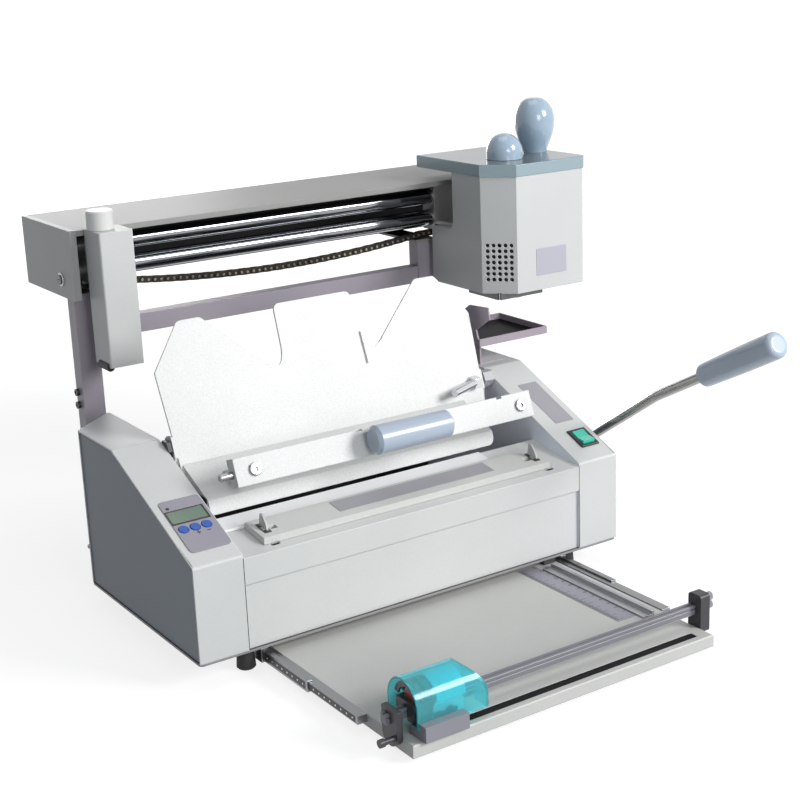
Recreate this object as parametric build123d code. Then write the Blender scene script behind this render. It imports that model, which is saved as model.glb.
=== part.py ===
from build123d import *
from math import atan2, cos, degrees, radians, sin, sqrt, tan
import os

# Desktop perfect binding machine: millimetres, +Z up, +X to the operator's right, +Y to the rear.
# The shapes are drawn about a point on the table midway between the four feet, and write() moves them
# so that the origin is the underside of the foot at the front left.

# Running clearance of shafts and guide rods in their holes, and of loose neighbours
shaft_clearance = 0.06
gap = 0.3

# Body: two side housings on a base plate, with a deck between them
body_half_width = 213.5
housing_width = 43.5
inner_wall_x = body_half_width - housing_width
body_front_y = -150.0
body_back_y = 150.0
base_underside_z = 20.0
base_thickness = 2.0
sheet = 1.5
front_kink_z = 102.8
top_kink_y = -9.6
top_kink_z = 163.0
housing_back_outer_y = 61.0
housing_back_inner_y = 96.0
housing_fold_radius = 3.0
side_panel_inset = 1.0
side_panel_thickness = 1.2

# Rubber feet
foot_x = 166.0
foot_y = 134.0
foot_radius = 8.0
foot_screw_radius = 2.0

# Deck and front panel
deck_front_z = 99.8
deck_slope = 8.0
deck_lip_height = 22.5
deck_back_y = -83.0
front_panel_recess = 2.5
rear_panel_y = 92.0
rear_panel_top_z = 122.0

# Cover nipping table
nip_bar_half_length = inner_wall_x - 25.0
nip_bar_front_y = -139.0
nip_bar_depth = 32.0
nip_bar_height = 6.0
nip_jaw_left_x = 4.0 - inner_wall_x
nip_jaw_right_x = inner_wall_x - 64.0
nip_jaw_depth = 21.0
nip_jaw_back_y = -85.0
nip_travel = 6.5
stop_x = nip_bar_half_length - 8.0
stop_travel = 8.0
stop_height = 12.0

# Nipping shaft and its lever
nip_shaft_y = -62.0
nip_shaft_z = 81.0
nip_shaft_radius = 3.5
crank_radius = 9.5
crank_half_swing = 20.0
crank_pin_radius = 2.0
crank_x = 118.0
nip_fork_right_x = nip_jaw_right_x - 10.0
fork_headroom = 1.4
yoke_thickness = 3.0
lever_x = body_half_width + 18.5
lever_rod_radius = 4.5
lever_bend = (-181.9, 160.7)
lever_rod_end = (-249.8, 196.5)
lever_grip_length = 86.0
lever_grip_radius = 11.5

# Controls on the sloping fronts of the housings; distances run up the slope from the front kink
control_plate_x = -inner_wall_x - 19.0
control_plate_width = 36.0
control_plate_low = 15.7
control_plate_high = 78.0
control_plate_thickness = 0.8
display_size = (31.0, 13.5)
display_centre = (control_plate_x - 1.0, 57.6)
button_xs = (control_plate_x - 11.5, control_plate_x - 1.5, control_plate_x + 8.6)
button_up_slope = 42.5
button_radius = 4.2
button_travel = 0.8
switch_centre = (inner_wall_x + 27.3, 29.8)
switch_size = (20.0, 24.0)
switch_rocker_size = (13.0, 19.0)

# Book clamp: a leaning back plate with finger cut-outs, a lower jaw and a sliding clamp bar
plate_lean = 20.0
plate_y_at_150 = -28.0
plate_thickness = 2.0
plate_centre_x = -4.0
plate_side_half = inner_wall_x - 8.0
plate_bottom_v = -30.0
plate_side_v = 73.0
plate_top_v = 113.0
tongue_outer_u = plate_side_half - 30.0
tongue_inner_u = plate_side_half - 51.5
valley_u = 41.2
valley_v = 45.0
middle_tongue_u = 39.3
pivot_y = -19.0
pivot_z = 156.0
pivot_radius = 4.0
flip_range = 170.0
jaw_front_y = -78.0
jaw_bottom_z = 112.0
jaw_height = 12.0
jaw_back_v = -7.0
jaw_left_x = 10.0 - inner_wall_x
jaw_right_x = inner_wall_x - 40.0
bar_left_x = 23.0 - inner_wall_x
bar_right_x = inner_wall_x - 15.0
bar_face_height = 24.0
bar_front_offset = 69.5
bar_depth = 12.0
bar_centre_v = -23.2
bar_travel = 26.5
guide_pin_radius = 4.0
guide_pin_xs = (bar_left_x + 18.0, bar_right_x - 13.0)
bar_grip_x = 14.0
bar_grip_length = 78.0
bar_grip_radius = 12.7

# Rear frame: two posts and a cross bar
post_width = 20.0
post_depth = 16.0
post_front_y = 134.0
left_post_x = -167.0
right_post_x = body_half_width - 8.5
cross_bar_z = 228.5
cross_bar_height = 17.0
frame_wall = 1.5

# Drip pan on the right housing, under the parked head
drip_left_x = inner_wall_x - 2.0
drip_right_x = drip_left_x + 82.0
drip_front_y = -6.5
drip_back_y = 70.0
drip_bottom_z = 183.3
drip_top_z = 190.5

# Beam with its two guide rods and the chain
beam_left_x = -182.6
beam_right_x = 310.0
beam_front_y = 115.0
beam_back_y = 231.0
beam_bottom_z = 262.0
beam_top_z = 325.0
end_plate_thickness = 6.0
rod_radius = 8.0
rod_y = 142.0
upper_rod_z = 306.5
lower_rod_z = 284.5
chain_y = 128.5
chain_pitch = 6.35
chain_sag = 10.2
chain_end_z = 271.8
chain_left_x = -120.0
chain_right_x = 304.0
chain_plate_height = 6.0
chain_plate_thickness = 0.8
chain_inner_y = 1.1
chain_outer_y = 2.0
chain_roller_radius = 2.0

# Glue head carriage
head_left_x = 207.0
head_right_x = 318.0
head_front_y = 14.5
head_back_y = 124.3
head_bottom_z = 222.0
head_top_z = 337.0
head_chamfer = (24.5, 25.7)
head_right_chamfer = 4.5
head_wall = 1.5
head_notch_y = 87.0
head_notch_z = 279.0
lid_thickness = 11.7
lid_back_y = 146.3
head_travel = 340.0
vent_columns = 5
vent_rows = 7
vent_pitch = (5.9, 5.65)
vent_radius = 2.0
vent_bottom_z = 236.0
bulb_centre = (304.0, 77.0)
bulb_height = 54.0
bulb_radius = 20.2
dome_centre = (250.0, 57.0)
dome_radius = 18.0
dome_height = 25.0
roller_x = 245.0
roller_radius = 22.0
roller_z = 235.6
roller_shaft_radius = 4.0
roller_front_y = 31.0
roller_back_y = 76.0
sprocket_teeth = 19
sprocket_thickness = 2.6

# Notching carriage
notcher_left_x = -170.0
notcher_right_x = -138.0
notcher_front_y = 80.0
notcher_back_y = 114.3
notcher_bottom_z = 206.0
notcher_top_z = 326.0
notcher_travel = 340.0
knob_radius = 12.0
knob_height = 17.0
knob_centre = (-159.0, 101.0)
notch_blade_z = 203.2

# Sliding trimmer table
tray_half_width = 146.0
tray_front_y = -345.0
tray_back_y = -138.0
tray_top_z = 14.0
tray_thickness = 10.0
tray_travel = 140.0
fence_x = tray_half_width - 17.0
fence_width = 12.0
fence_height = 4.4
rail_y = -320.0
rail_width = 7.0
rail_height = 8.0
rail_bottom_z = 24.0
rail_left_x = -tray_half_width - 8.0
rail_right_x = tray_half_width
slide_length = 195.0
slide_height = 12.6
slide_centre_z = 11.5
slide_wall = 1.2
slide_closed_y = -145.0
slide_outer_x = tray_half_width + 11.5
cutter_x = 38.0 - tray_half_width
cutter_travel = 205.0
cutter_wheel_radius = 14.0
cutter_wheel_y = -335.0
cutter_wheel_z = 28.2
cutter_hood_radius = 19.5
cutter_hood_z = 35.5
cutter_hood_low_z = 21.0
cutter_hood_nose = 16.0
hood_wall = 1.5
mat_left_x = 16.0 - tray_half_width
mat_right_x = tray_half_width - 12.0


def box_between(low, high):
    size = [high[i] - low[i] for i in range(3)]
    centre = [(high[i] + low[i]) / 2 for i in range(3)]
    return Pos(*centre) * Box(*size)


def polygon_face(points, radius=0.0):
    face = make_face(Polyline(*points, close=True))
    return fillet(face.vertices(), radius) if radius else face


def prism_yz(points, x_low, x_high, radius=0.0):
    face = Plane.YZ.offset(x_low) * polygon_face(points, radius)
    return extrude(face, amount=x_high - x_low)


def prism_xy(points, z_low, z_high, radius=0.0):
    face = Plane.XY.offset(z_low) * polygon_face(points, radius)
    return extrude(face, amount=z_high - z_low)


def rod_x(y, z, radius, x_low, x_high):
    return Pos((x_low + x_high) / 2, y, z) * Rot(0, 90, 0) * Cylinder(radius, x_high - x_low)


def rod_y_dir(x, z, radius, y_low, y_high):
    return Pos(x, (y_low + y_high) / 2, z) * Rot(90, 0, 0) * Cylinder(radius, y_high - y_low)


def rod_z(x, y, radius, z_low, z_high):
    return Pos(x, y, (z_low + z_high) / 2) * Cylinder(radius, z_high - z_low)


def deck_z(y):
    return deck_front_z + (y - body_front_y) * tan(radians(deck_slope))


# The housings' sloping front, as a plane whose local y runs up the slope
slope_angle = degrees(atan2(top_kink_z - front_kink_z, top_kink_y - body_front_y))
slope_plane = Plane(
    origin=(0, body_front_y, front_kink_z),
    x_dir=(1, 0, 0),
    z_dir=(0, -sin(radians(slope_angle)), cos(radians(slope_angle))),
)

# The clamp's plane: local x along the machine, local y up the plate, local z towards the operator
clamp_plane = Plane(
    origin=(0, plate_y_at_150, 150.0),
    x_dir=(1, 0, 0),
    z_dir=(0, -cos(radians(plate_lean)), sin(radians(plate_lean))),
)

base_top_z = base_underside_z + base_thickness


def base_plate():
    # Behind the left housing the plate draws in to the post
    neck_x = left_post_x - 16.0
    slant = (housing_back_inner_y - housing_back_outer_y) / housing_width
    outline = [
        (-body_half_width, body_front_y),
        (body_half_width, body_front_y),
        (body_half_width, body_back_y),
        (neck_x, body_back_y),
        (neck_x, housing_back_outer_y + (body_half_width + neck_x) * slant),
        (-body_half_width, housing_back_outer_y),
    ]
    plate = prism_xy(outline, base_underside_z, base_top_z, 4)
    holes = [Pos(x, y, 0) * Cylinder(foot_screw_radius, 100) for x in (-foot_x, foot_x) for y in (-foot_y, foot_y)]
    slots = [Pos(x, 20, base_top_z) * Box(6, 60, 20) for x in (-90, -60, -30, 0, 30, 60, 90)]
    return plate - holes - slots


def feet():
    profile = Polyline(
        (0, 0), (foot_radius - 1.5, 0), (foot_radius, 1.5), (foot_radius - 1.2, base_underside_z),
        (foot_screw_radius, base_underside_z), (foot_screw_radius, base_top_z), (0, base_top_z), close=True)
    foot = revolve(Plane.XZ * make_face(profile), Axis.Z)
    return [Pos(x, y, 0) * foot for x in (-foot_x, foot_x) for y in (-foot_y, foot_y)]


def housing_profile():
    return [
        (body_front_y, base_top_z),
        (body_front_y, front_kink_z),
        (top_kink_y, top_kink_z),
        (housing_back_inner_y, top_kink_z),
        (housing_back_inner_y, base_top_z),
    ]


def housing_body(side, inset):
    face = polygon_face(housing_profile())
    if inset:
        face = offset(face, amount=-inset, kind=Kind.INTERSECTION)
    else:
        kinks = face.vertices().sort_by(Axis.Y)[-3:]
        face = fillet(kinks, housing_fold_radius)
    inner, outer = inner_wall_x + inset, body_half_width + (5 if inset else 0)
    body = extrude(Plane.YZ.offset(inner) * face, amount=outer - inner)
    if inset:
        floor = body.bounding_box()
        body += box_between((inner, floor.min.Y, base_top_z - 5), (outer, floor.max.Y, base_top_z + 2 * inset))
    back = [
        (inner_wall_x - 20, housing_back_inner_y - inset),
        (inner_wall_x, housing_back_inner_y - inset),
        (body_half_width, housing_back_outer_y - inset),
        (body_half_width + 20, housing_back_outer_y - inset - 10),
        (body_half_width + 20, 400),
        (inner_wall_x - 20, 400),
    ]
    body = body - prism_xy(back, -10, 400)
    return body if side > 0 else mirror(body, Plane.YZ)


def housing(side):
    shell = housing_body(side, 0) - housing_body(side, sheet)
    shaft_hole = rod_x(nip_shaft_y, nip_shaft_z, nip_shaft_radius + shaft_clearance, inner_wall_x - 5, inner_wall_x + 6)
    holes = [shaft_hole]
    if side < 0:
        holes = [mirror(hole, Plane.YZ) for hole in holes]
        holes += [
            slope_plane * Pos(x, button_up_slope, 0) * Cylinder(button_radius + gap, 8) for x in button_xs]
        holes.append(slope_plane * Pos(display_centre[0], display_centre[1], 0) * Box(*display_size, 8))
    else:
        holes.append(slope_plane * Pos(*switch_centre, 0) * Box(switch_size[0] - 3, switch_size[1] - 3, 8))
    return shell - holes


def side_panels():
    panels = []
    panel_outer = body_half_width - side_panel_inset
    for side in (-1, 1):
        body = housing_body(1, sheet) & box_between(
            (panel_outer - side_panel_thickness, -300, base_top_z + gap), (panel_outer, 300, 400))
        outline = body.bounding_box()
        body = body & box_between(
            (outline.min.X, outline.min.Y + 0.05, outline.min.Z), (outline.max.X, outline.max.Y, outline.max.Z - 0.05))
        if side > 0:
            body -= rod_x(nip_shaft_y, nip_shaft_z, nip_shaft_radius + shaft_clearance, panel_outer - 5, panel_outer + 5)
        panels.append(body if side > 0 else mirror(body, Plane.YZ))
    return panels


def deck():
    inner = inner_wall_x
    top_front = (body_front_y, deck_front_z)
    lip_z = deck_front_z - deck_lip_height
    rear_z = deck_z(deck_back_y)
    profile = [
        (body_front_y, lip_z),
        top_front,
        (deck_back_y, rear_z),
        (deck_back_y, rear_z - 14),
        (deck_back_y - sheet, rear_z - 14),
        (deck_back_y - sheet, rear_z - sheet),
        (body_front_y + sheet, deck_front_z - sheet),
        (body_front_y + sheet, lip_z),
    ]
    plate = prism_yz(profile, -inner, inner)
    slots = []
    for x in (-crank_x, nip_fork_right_x):
        slots.append(box_between(
            (x - yoke_thickness / 2 - 1, nip_jaw_back_y - nip_jaw_depth, 60),
            (x + yoke_thickness / 2 + 1, deck_back_y + 1, 130)))
    # Two oval drain holes at the front edge of the nip bar
    for x in (1.0 - stop_x, stop_x + 6.0):
        slots.append(Pos(x, nip_bar_front_y - 1, deck_front_z) * extrude(SlotOverall(9, 5), amount=8, both=True))
    return plate - slots


def front_panel():
    top = deck_front_z - deck_lip_height
    front = body_front_y + front_panel_recess
    face = box_between((-inner_wall_x, front, base_top_z), (inner_wall_x, front + sheet, top + 8))
    foot = box_between((-inner_wall_x, front, base_top_z), (inner_wall_x, front + 12, base_top_z + sheet))
    step = box_between(
        (-inner_wall_x, body_front_y + sheet, top + 4), (inner_wall_x, front + sheet, top + 8))
    return face + foot + step


def rear_panel():
    panel = box_between(
        (-inner_wall_x, rear_panel_y, base_top_z), (inner_wall_x, rear_panel_y + sheet, rear_panel_top_z))
    foot = box_between((-inner_wall_x, rear_panel_y - 12, base_top_z), (inner_wall_x, rear_panel_y, base_top_z + sheet))
    louvres = [
        Pos(x, rear_panel_y, 70 + 11 * row) * Box(50, 20, 4) for x in (-100, -30, 40) for row in range(4)]
    inlet = Pos(120, rear_panel_y, 50) * Box(28, 20, 21)
    return panel + foot - louvres - inlet


def nip_bar():
    front, back = nip_bar_front_y, nip_bar_front_y + nip_bar_depth
    profile = [
        (front, deck_z(front) + gap),
        (front, deck_z(front) + nip_bar_height),
        (back, deck_z(back) + nip_bar_height),
        (back, deck_z(back) + gap),
    ]
    bar = prism_yz(profile, -nip_bar_half_length, nip_bar_half_length)
    bar = chamfer(bar.edges().filter_by(Axis.X).group_by(Axis.Z)[-1], 0.8)
    slots = []
    for side in (-1, 1):
        reach = stop_travel + 3
        low, high = sorted((side * (stop_x - reach), side * (stop_x + 3)))
        slots.append(box_between((low, -128, deck_z(-128) + 2.5), (high, -122, 200)))
    return bar - slots


def crank_pin_place():
    swing = radians(crank_half_swing)
    return nip_shaft_y - crank_radius * sin(swing), nip_shaft_z - crank_radius * cos(swing)


def nip_jaw():
    front, back = nip_jaw_back_y - nip_jaw_depth, nip_jaw_back_y
    profile = [
        (front, deck_z(front) + gap),
        (front, deck_z(front) + 2.4),
        (back, deck_z(back) + 2.4),
        (back, deck_z(back) + gap),
    ]
    jaw = prism_yz(profile, nip_jaw_left_x, nip_jaw_right_x)
    pin_y, pin_z = crank_pin_place()
    low_z, reach = pin_z - 4, crank_pin_radius + 4.5
    fork_top = nip_shaft_z - nip_shaft_radius - fork_headroom
    web = [
        (front + 3, deck_z(front) + 1),
        (front + 3, low_z + 14),
        (front + 17, low_z),
        (pin_y + reach, low_z),
        (pin_y + reach, fork_top),
        (back - 9, fork_top),
        (back - 5, deck_z(back) - 16),
        (back - 5, deck_z(back) + 1),
    ]
    slot_half = crank_pin_radius + 0.12
    for x in (-crank_x, nip_fork_right_x):
        plate = prism_yz(web, x - yoke_thickness / 2, x + yoke_thickness / 2)
        slot = box_between((x - 5, pin_y - slot_half, low_z - 1), (x + 5, pin_y + slot_half, pin_z + slot_half))
        jaw += plate - slot
    return jaw


def side_stop(side):
    x, y = side * stop_x, -125.0
    floor = deck_z(y) + 2.5 + gap
    foot = box_between((x - 2.5, y - 2.5, floor), (x + 2.5, y + 2.5, deck_z(y) + nip_bar_height + 1))
    fin_profile = [
        (y - 6, deck_z(y) + nip_bar_height + 0.6),
        (y - 4, deck_z(y) + nip_bar_height + 6),
        (y + 1, deck_z(y) + nip_bar_height + stop_height),
        (y + 5, deck_z(y) + nip_bar_height + stop_height),
        (y + 7, deck_z(y) + nip_bar_height + 1.6),
    ]
    return foot + prism_yz(fin_profile, x - 0.8, x + 0.8)


def nip_shaft():
    left_end = -inner_wall_x - sheet - 4
    shaft = rod_x(nip_shaft_y, nip_shaft_z, nip_shaft_radius, left_end, lever_x - 6.5)
    pin_y, pin_z = crank_pin_place()
    for x in (-crank_x, nip_fork_right_x):
        web_low = x + yoke_thickness / 2 + 0.6
        web_high = web_low + 5
        hub = rod_x(nip_shaft_y, nip_shaft_z, nip_shaft_radius + 3, web_low, web_high)
        arm = Pos(0, nip_shaft_y, nip_shaft_z) * Rot(-crank_half_swing, 0, 0) * box_between(
            (web_low, -3.5, -crank_radius - 3), (web_high, 3.5, 0))
        pin = rod_x(pin_y, pin_z, crank_pin_radius, x - yoke_thickness / 2 - 1, web_high)
        shaft += hub + arm + pin
    return shaft


def lever_path():
    start = (lever_x, nip_shaft_y, nip_shaft_z)
    bend = (lever_x, *lever_bend)
    end = (lever_x, *lever_rod_end)
    return FilletPolyline(start, bend, end, radius=60)


def nip_lever():
    path = lever_path()
    rod = sweep(Plane(origin=path @ 0, z_dir=path % 0) * Circle(lever_rod_radius), path=path)
    hub = rod_x(nip_shaft_y, nip_shaft_z, 13, lever_x - 6.5, lever_x + 6.5)
    hub = chamfer(hub.edges(), 1)
    boss = rod_x(nip_shaft_y, nip_shaft_z, 9, body_half_width + 0.6, lever_x - 6.5)
    boss -= rod_x(nip_shaft_y, nip_shaft_z, nip_shaft_radius, 200, lever_x - 6.5)
    return rod + hub + boss


def lever_grip():
    path = lever_path()
    direction = path % 1
    buried = 8.0
    near, far, length = lever_grip_radius - 1.2, lever_grip_radius, lever_grip_length + buried
    curve = [
        Line((0, lever_rod_radius), (0, near - 2)),
        ThreePointArc((0, near - 2), (0.6, near - 0.6), (2, near)),
        Spline((2, near), (length * 0.5, (near + far) / 2 + 0.4), (length - 5, far)),
        ThreePointArc((length - 5, far), (length - 1.4, far - 1.5), (length, far - 5)),
        Line((length, far - 5), (length, 0)),
        Line((length, 0), (buried, 0)),
        Line((buried, 0), (buried, lever_rod_radius)),
        Line((buried, lever_rod_radius), (0, lever_rod_radius)),
    ]
    grip = revolve(make_face(curve), Axis.X)
    return Plane(origin=path @ 1 - direction * buried, x_dir=direction, z_dir=(1, 0, 0)) * grip


def control_plate():
    plate = Pos(control_plate_x, (control_plate_low + control_plate_high) / 2, control_plate_thickness / 2)
    plate = plate * extrude(RectangleRounded(control_plate_width, control_plate_high - control_plate_low, 4),
                            amount=control_plate_thickness / 2, both=True)
    cuts = [Pos(x, button_up_slope, 0) * Cylinder(button_radius + gap, 8) for x in button_xs]
    cuts.append(Pos(*display_centre, 0) * Box(*display_size, 8))
    return slope_plane * (plate - cuts)


def display():
    glass = Pos(*display_centre, -0.6) * Box(display_size[0] - 0.1, display_size[1] - 0.1, 2.4)
    module = Pos(*display_centre, -3.8) * Box(display_size[0] - 2, display_size[1] - 2, 4.0)
    return slope_plane * (glass + module)


def button(x):
    cap = Pos(x, button_up_slope, -0.6) * Cylinder(button_radius, 4.4)
    cap = fillet(cap.edges().group_by(Axis.Z)[-1], 0.7)
    stem = Pos(x, button_up_slope, -3.8) * Cylinder(1.4, 3.6)
    return slope_plane * (cap + stem)


def control_board():
    board = Pos(control_plate_x, 46, -7.4) * Box(34, 60, 1.6)
    posts = [Pos(control_plate_x + sx * 14, 46 + sy * 27, -4.05) * Cylinder(2, 5.1) for sx in (-1, 1) for sy in (-1, 1)]
    return slope_plane * (board + posts)


def switch_bezel():
    w, h = switch_size
    rim = Pos(*switch_centre, 1.0) * Box(w, h, 2.0)
    body = Pos(*switch_centre, -7.5) * Box(w - 3.2, h - 3.2, 15.2)
    rim = chamfer(rim.edges().group_by(Axis.Z)[-1], 0.6)
    recess = Pos(*switch_centre, -2.0) * Box(switch_rocker_size[0] + 0.8, switch_rocker_size[1] + 0.8, 12)
    axle = Pos(*switch_centre, 0) * rod_x(0, -1.0, 1.2 + shaft_clearance, -8.0, 8.0)
    return slope_plane * (rim + body - recess - axle)


def power_rocker():
    w, h = switch_rocker_size
    half = h / 2 - 0.5
    profile = [(-half, 1.6), (-half + 1, 4.4), (0, 2.0), (half, 2.4), (half - 1, -3.5), (-half + 1, -3.5)]
    face = Plane.YZ.offset(-w / 2) * polygon_face(profile)
    rocker = extrude(face, amount=w) + rod_x(0, -1.0, 1.2, -w / 2 - 0.8, w / 2 + 0.8)
    return slope_plane * Pos(*switch_centre, 0) * rocker


def clamp_outline():
    c = plate_centre_x
    half = [
        (middle_tongue_u, plate_top_v),
        (valley_u, valley_v),
        (tongue_inner_u, plate_top_v),
        (tongue_outer_u, plate_top_v),
        (plate_side_half, plate_side_v),
        (plate_side_half - 5, plate_bottom_v),
    ]
    right = [(c + u, v) for u, v in half]
    left = [(c - u, v) for u, v in reversed(half)]
    return left + right


def clamp_plate():
    face = polygon_face(clamp_outline())
    rounding = [v for v in face.vertices() if v.Y > plate_bottom_v + 5]
    face = fillet(rounding, 6)
    plate = extrude(clamp_plane * face, amount=-plate_thickness)
    # Ears behind the plate carry the pivots, and a folded foot carries the jaw
    low_x = plate_centre_x - plate_side_half + 3
    high_x = plate_centre_x + plate_side_half - 3
    for x in (low_x, high_x):
        ear = Pos(x, pivot_y, pivot_z) * Rot(0, 90, 0) * Cylinder(11, 4)
        web = Pos(x, plate_y_at_150 + 7, 152) * Box(4, 12, 26)
        ear = (ear + web) & extrude(clamp_plane * Rectangle(400, 300), amount=-60)
        ear -= rod_x(pivot_y, pivot_z, pivot_radius + shaft_clearance, x - 10, x + 10)
        plate = plate + ear
    return plate


def plate_point(v):
    return plate_y_at_150 + v * sin(radians(plate_lean)), 150.0 + v * cos(radians(plate_lean))


def rear_jaw():
    top_front = jaw_bottom_z + jaw_height
    profile = [
        (jaw_front_y, jaw_bottom_z),
        (jaw_front_y + 4, top_front),
        plate_point(jaw_back_v),
        plate_point(plate_bottom_v),
        (jaw_front_y + 14, jaw_bottom_z),
    ]
    jaw = prism_yz(profile, jaw_left_x, jaw_right_x)
    for z, sign in ((jaw_bottom_z, 1), (top_front, -1)):
        corner = box_between(
            (jaw_right_x - 7, jaw_front_y - 2, min(z, z + 7 * sign)),
            (jaw_right_x + 1, jaw_front_y + 30, max(z, z + 7 * sign)))
        corner -= rod_y_dir(jaw_right_x - 7, z + 7 * sign, 7, jaw_front_y - 3, jaw_front_y + 31)
        if sign > 0:
            jaw -= corner
    bores = [clamp_plane * Pos(x, bar_centre_v, 30) * Cylinder(guide_pin_radius + shaft_clearance, 60) for x in guide_pin_xs]
    return jaw - bores


def guide_pins():
    pins = []
    for x in guide_pin_xs:
        length = bar_front_offset
        pin = Pos(0, 0, length / 2) * Cylinder(guide_pin_radius, length)
        head = Pos(0, 0, length + 1.3) * Cylinder(guide_pin_radius + 1.6, 2.2)
        head = fillet(head.edges().group_by(Axis.Z)[-1], 0.8)
        head -= Pos(0, 0, length + 2.4) * extrude(RegularPolygon(2.0, 6), amount=1.4, both=True)
        neck = Pos(0, 0, length + 0.1) * Cylinder(guide_pin_radius, 0.4)
        pins.append(clamp_plane * Pos(x, bar_centre_v, 0) * (pin + neck + head))
    return pins


def clamp_bar():
    low_v, high_v = bar_centre_v - bar_face_height / 2, bar_centre_v + bar_face_height / 2
    front, back = bar_front_offset, bar_front_offset - bar_depth
    outer = box_between((bar_left_x, low_v, back), (bar_right_x, high_v, front))
    inner = box_between((bar_left_x + 1.5, low_v - 5, back - 5), (bar_right_x - 1.5, high_v - sheet, front - sheet))
    bar = outer - inner
    bar = fillet(bar.edges().filter_by(Axis.X).group_by(Axis.Z)[-1], 0.8)
    # The pressing strip under the face, with its rubber-faced back towards the book
    strip = box_between((bar_left_x + 4, low_v + 0.2, back), (bar_right_x - 14, low_v + 6, front - sheet))
    bar = bar + strip
    notches = [
        box_between((118, high_v - 2.2, back - 1), (124, high_v + 1, front + 1)),
        box_between((-31, high_v - 2.0, front - 4), (-24, high_v + 1, front + 1)),
    ]
    bosses = []
    for x in guide_pin_xs:
        boss = Pos(x, bar_centre_v, (front + back) / 2) * Cylinder(guide_pin_radius + 3, bar_depth)
        bosses.append(boss)
    bar = bar + bosses - notches
    bar -= [Pos(x, bar_centre_v, front) * Cylinder(guide_pin_radius + shaft_clearance, 60) for x in guide_pin_xs]
    side_pin = Pos(bar_left_x - 6, low_v + 11, (front + back) / 2) * Rot(0, 90, 0) * Cylinder(3.2, 12)
    side_pin = fillet(side_pin.edges().group_by(Axis.X)[0], 1)
    return clamp_plane * (bar + side_pin)


def bar_grip():
    half, r = bar_grip_length / 2, bar_grip_radius
    stud = 3.0
    outline = Polyline((-half, 0), (-half, r - 3), (-half + 3, r), (half - 3, r - 0.6), (half, r - 4), (half, 0), close=True)
    grip = revolve(make_face(outline), Axis.X)
    studs = [Pos(x, 0, -(r + stud) / 2) * Cylinder(3.5, r + stud) for x in (-22, 22)]
    return clamp_plane * Pos(bar_grip_x, bar_centre_v, bar_front_offset + stud + r) * (grip + studs)


def pivot_pins():
    pins = []
    low_x = plate_centre_x - plate_side_half + 3
    high_x = plate_centre_x + plate_side_half - 3
    for side, ear_x in ((-1, low_x), (1, high_x)):
        low, high = sorted((ear_x - side * 2.5, side * inner_wall_x))
        flange_low, flange_high = sorted((ear_x + side * 3.3, side * inner_wall_x))
        collar = extrude(
            Plane.YZ.offset(flange_low) * Pos(pivot_y, pivot_z) * RegularPolygon(8.5, 6),
            amount=flange_high - flange_low)
        pins.append(rod_x(pivot_y, pivot_z, pivot_radius, low, high) + collar)
    return pins


def lock_rod():
    x_high = plate_centre_x + plate_side_half - 14
    start = Vector(x_high, -31.0, 158.0)
    end = Vector(x_high - 32.0, -42.0, pivot_z)
    direction = (end - start).normalized()
    rod = Solid.make_cylinder(3.6, (end - start).length, Plane(origin=start, z_dir=direction))
    foot = Pos(x_high + 1, -29.0, 158.0) * Box(8, 12, 9)
    foot = foot & extrude(clamp_plane * Rectangle(400, 300), amount=60)
    return rod + foot


def tube_z(x, y, width, depth, z_low, z_high):
    outer = box_between((x - width / 2, y - depth / 2, z_low), (x + width / 2, y + depth / 2, z_high))
    inner = box_between(
        (x - width / 2 + frame_wall, y - depth / 2 + frame_wall, z_low - 1),
        (x + width / 2 - frame_wall, y + depth / 2 - frame_wall, z_high + 1))
    return outer - inner


def posts():
    y = post_front_y + post_depth / 2
    return [tube_z(x, y, post_width, post_depth, base_top_z, beam_bottom_z) for x in (left_post_x, right_post_x)]


def cross_bar():
    low_x, high_x = left_post_x + post_width / 2, right_post_x - post_width / 2
    low_z, high_z = cross_bar_z - cross_bar_height / 2, cross_bar_z + cross_bar_height / 2
    outer = box_between((low_x, post_front_y + 1, low_z), (high_x, post_front_y + post_depth - 1, high_z))
    inner = box_between(
        (low_x - 1, post_front_y + 1 + frame_wall, low_z + frame_wall),
        (high_x + 1, post_front_y + post_depth - 1 - frame_wall, high_z - frame_wall))
    return outer - inner


def beam_cover():
    left, right = beam_left_x + end_plate_thickness, beam_right_x - end_plate_thickness
    flange_y = beam_back_y - 26
    profile = [
        (beam_front_y, beam_top_z - 5),
        (beam_front_y, beam_top_z),
        (beam_back_y, beam_top_z),
        (beam_back_y, beam_bottom_z),
        (flange_y, beam_bottom_z),
        (flange_y, beam_bottom_z + sheet),
        (beam_back_y - sheet, beam_bottom_z + sheet),
        (beam_back_y - sheet, beam_top_z - sheet),
        (beam_front_y + sheet, beam_top_z - sheet),
        (beam_front_y + sheet, beam_top_z - 5),
    ]
    cover = prism_yz(profile, left, right)
    for x in (left_post_x, right_post_x):
        cover += box_between(
            (max(left, x - 12), post_front_y, beam_bottom_z), (x + 12, beam_back_y - sheet, beam_bottom_z + 2.5))
    return cover


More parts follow.
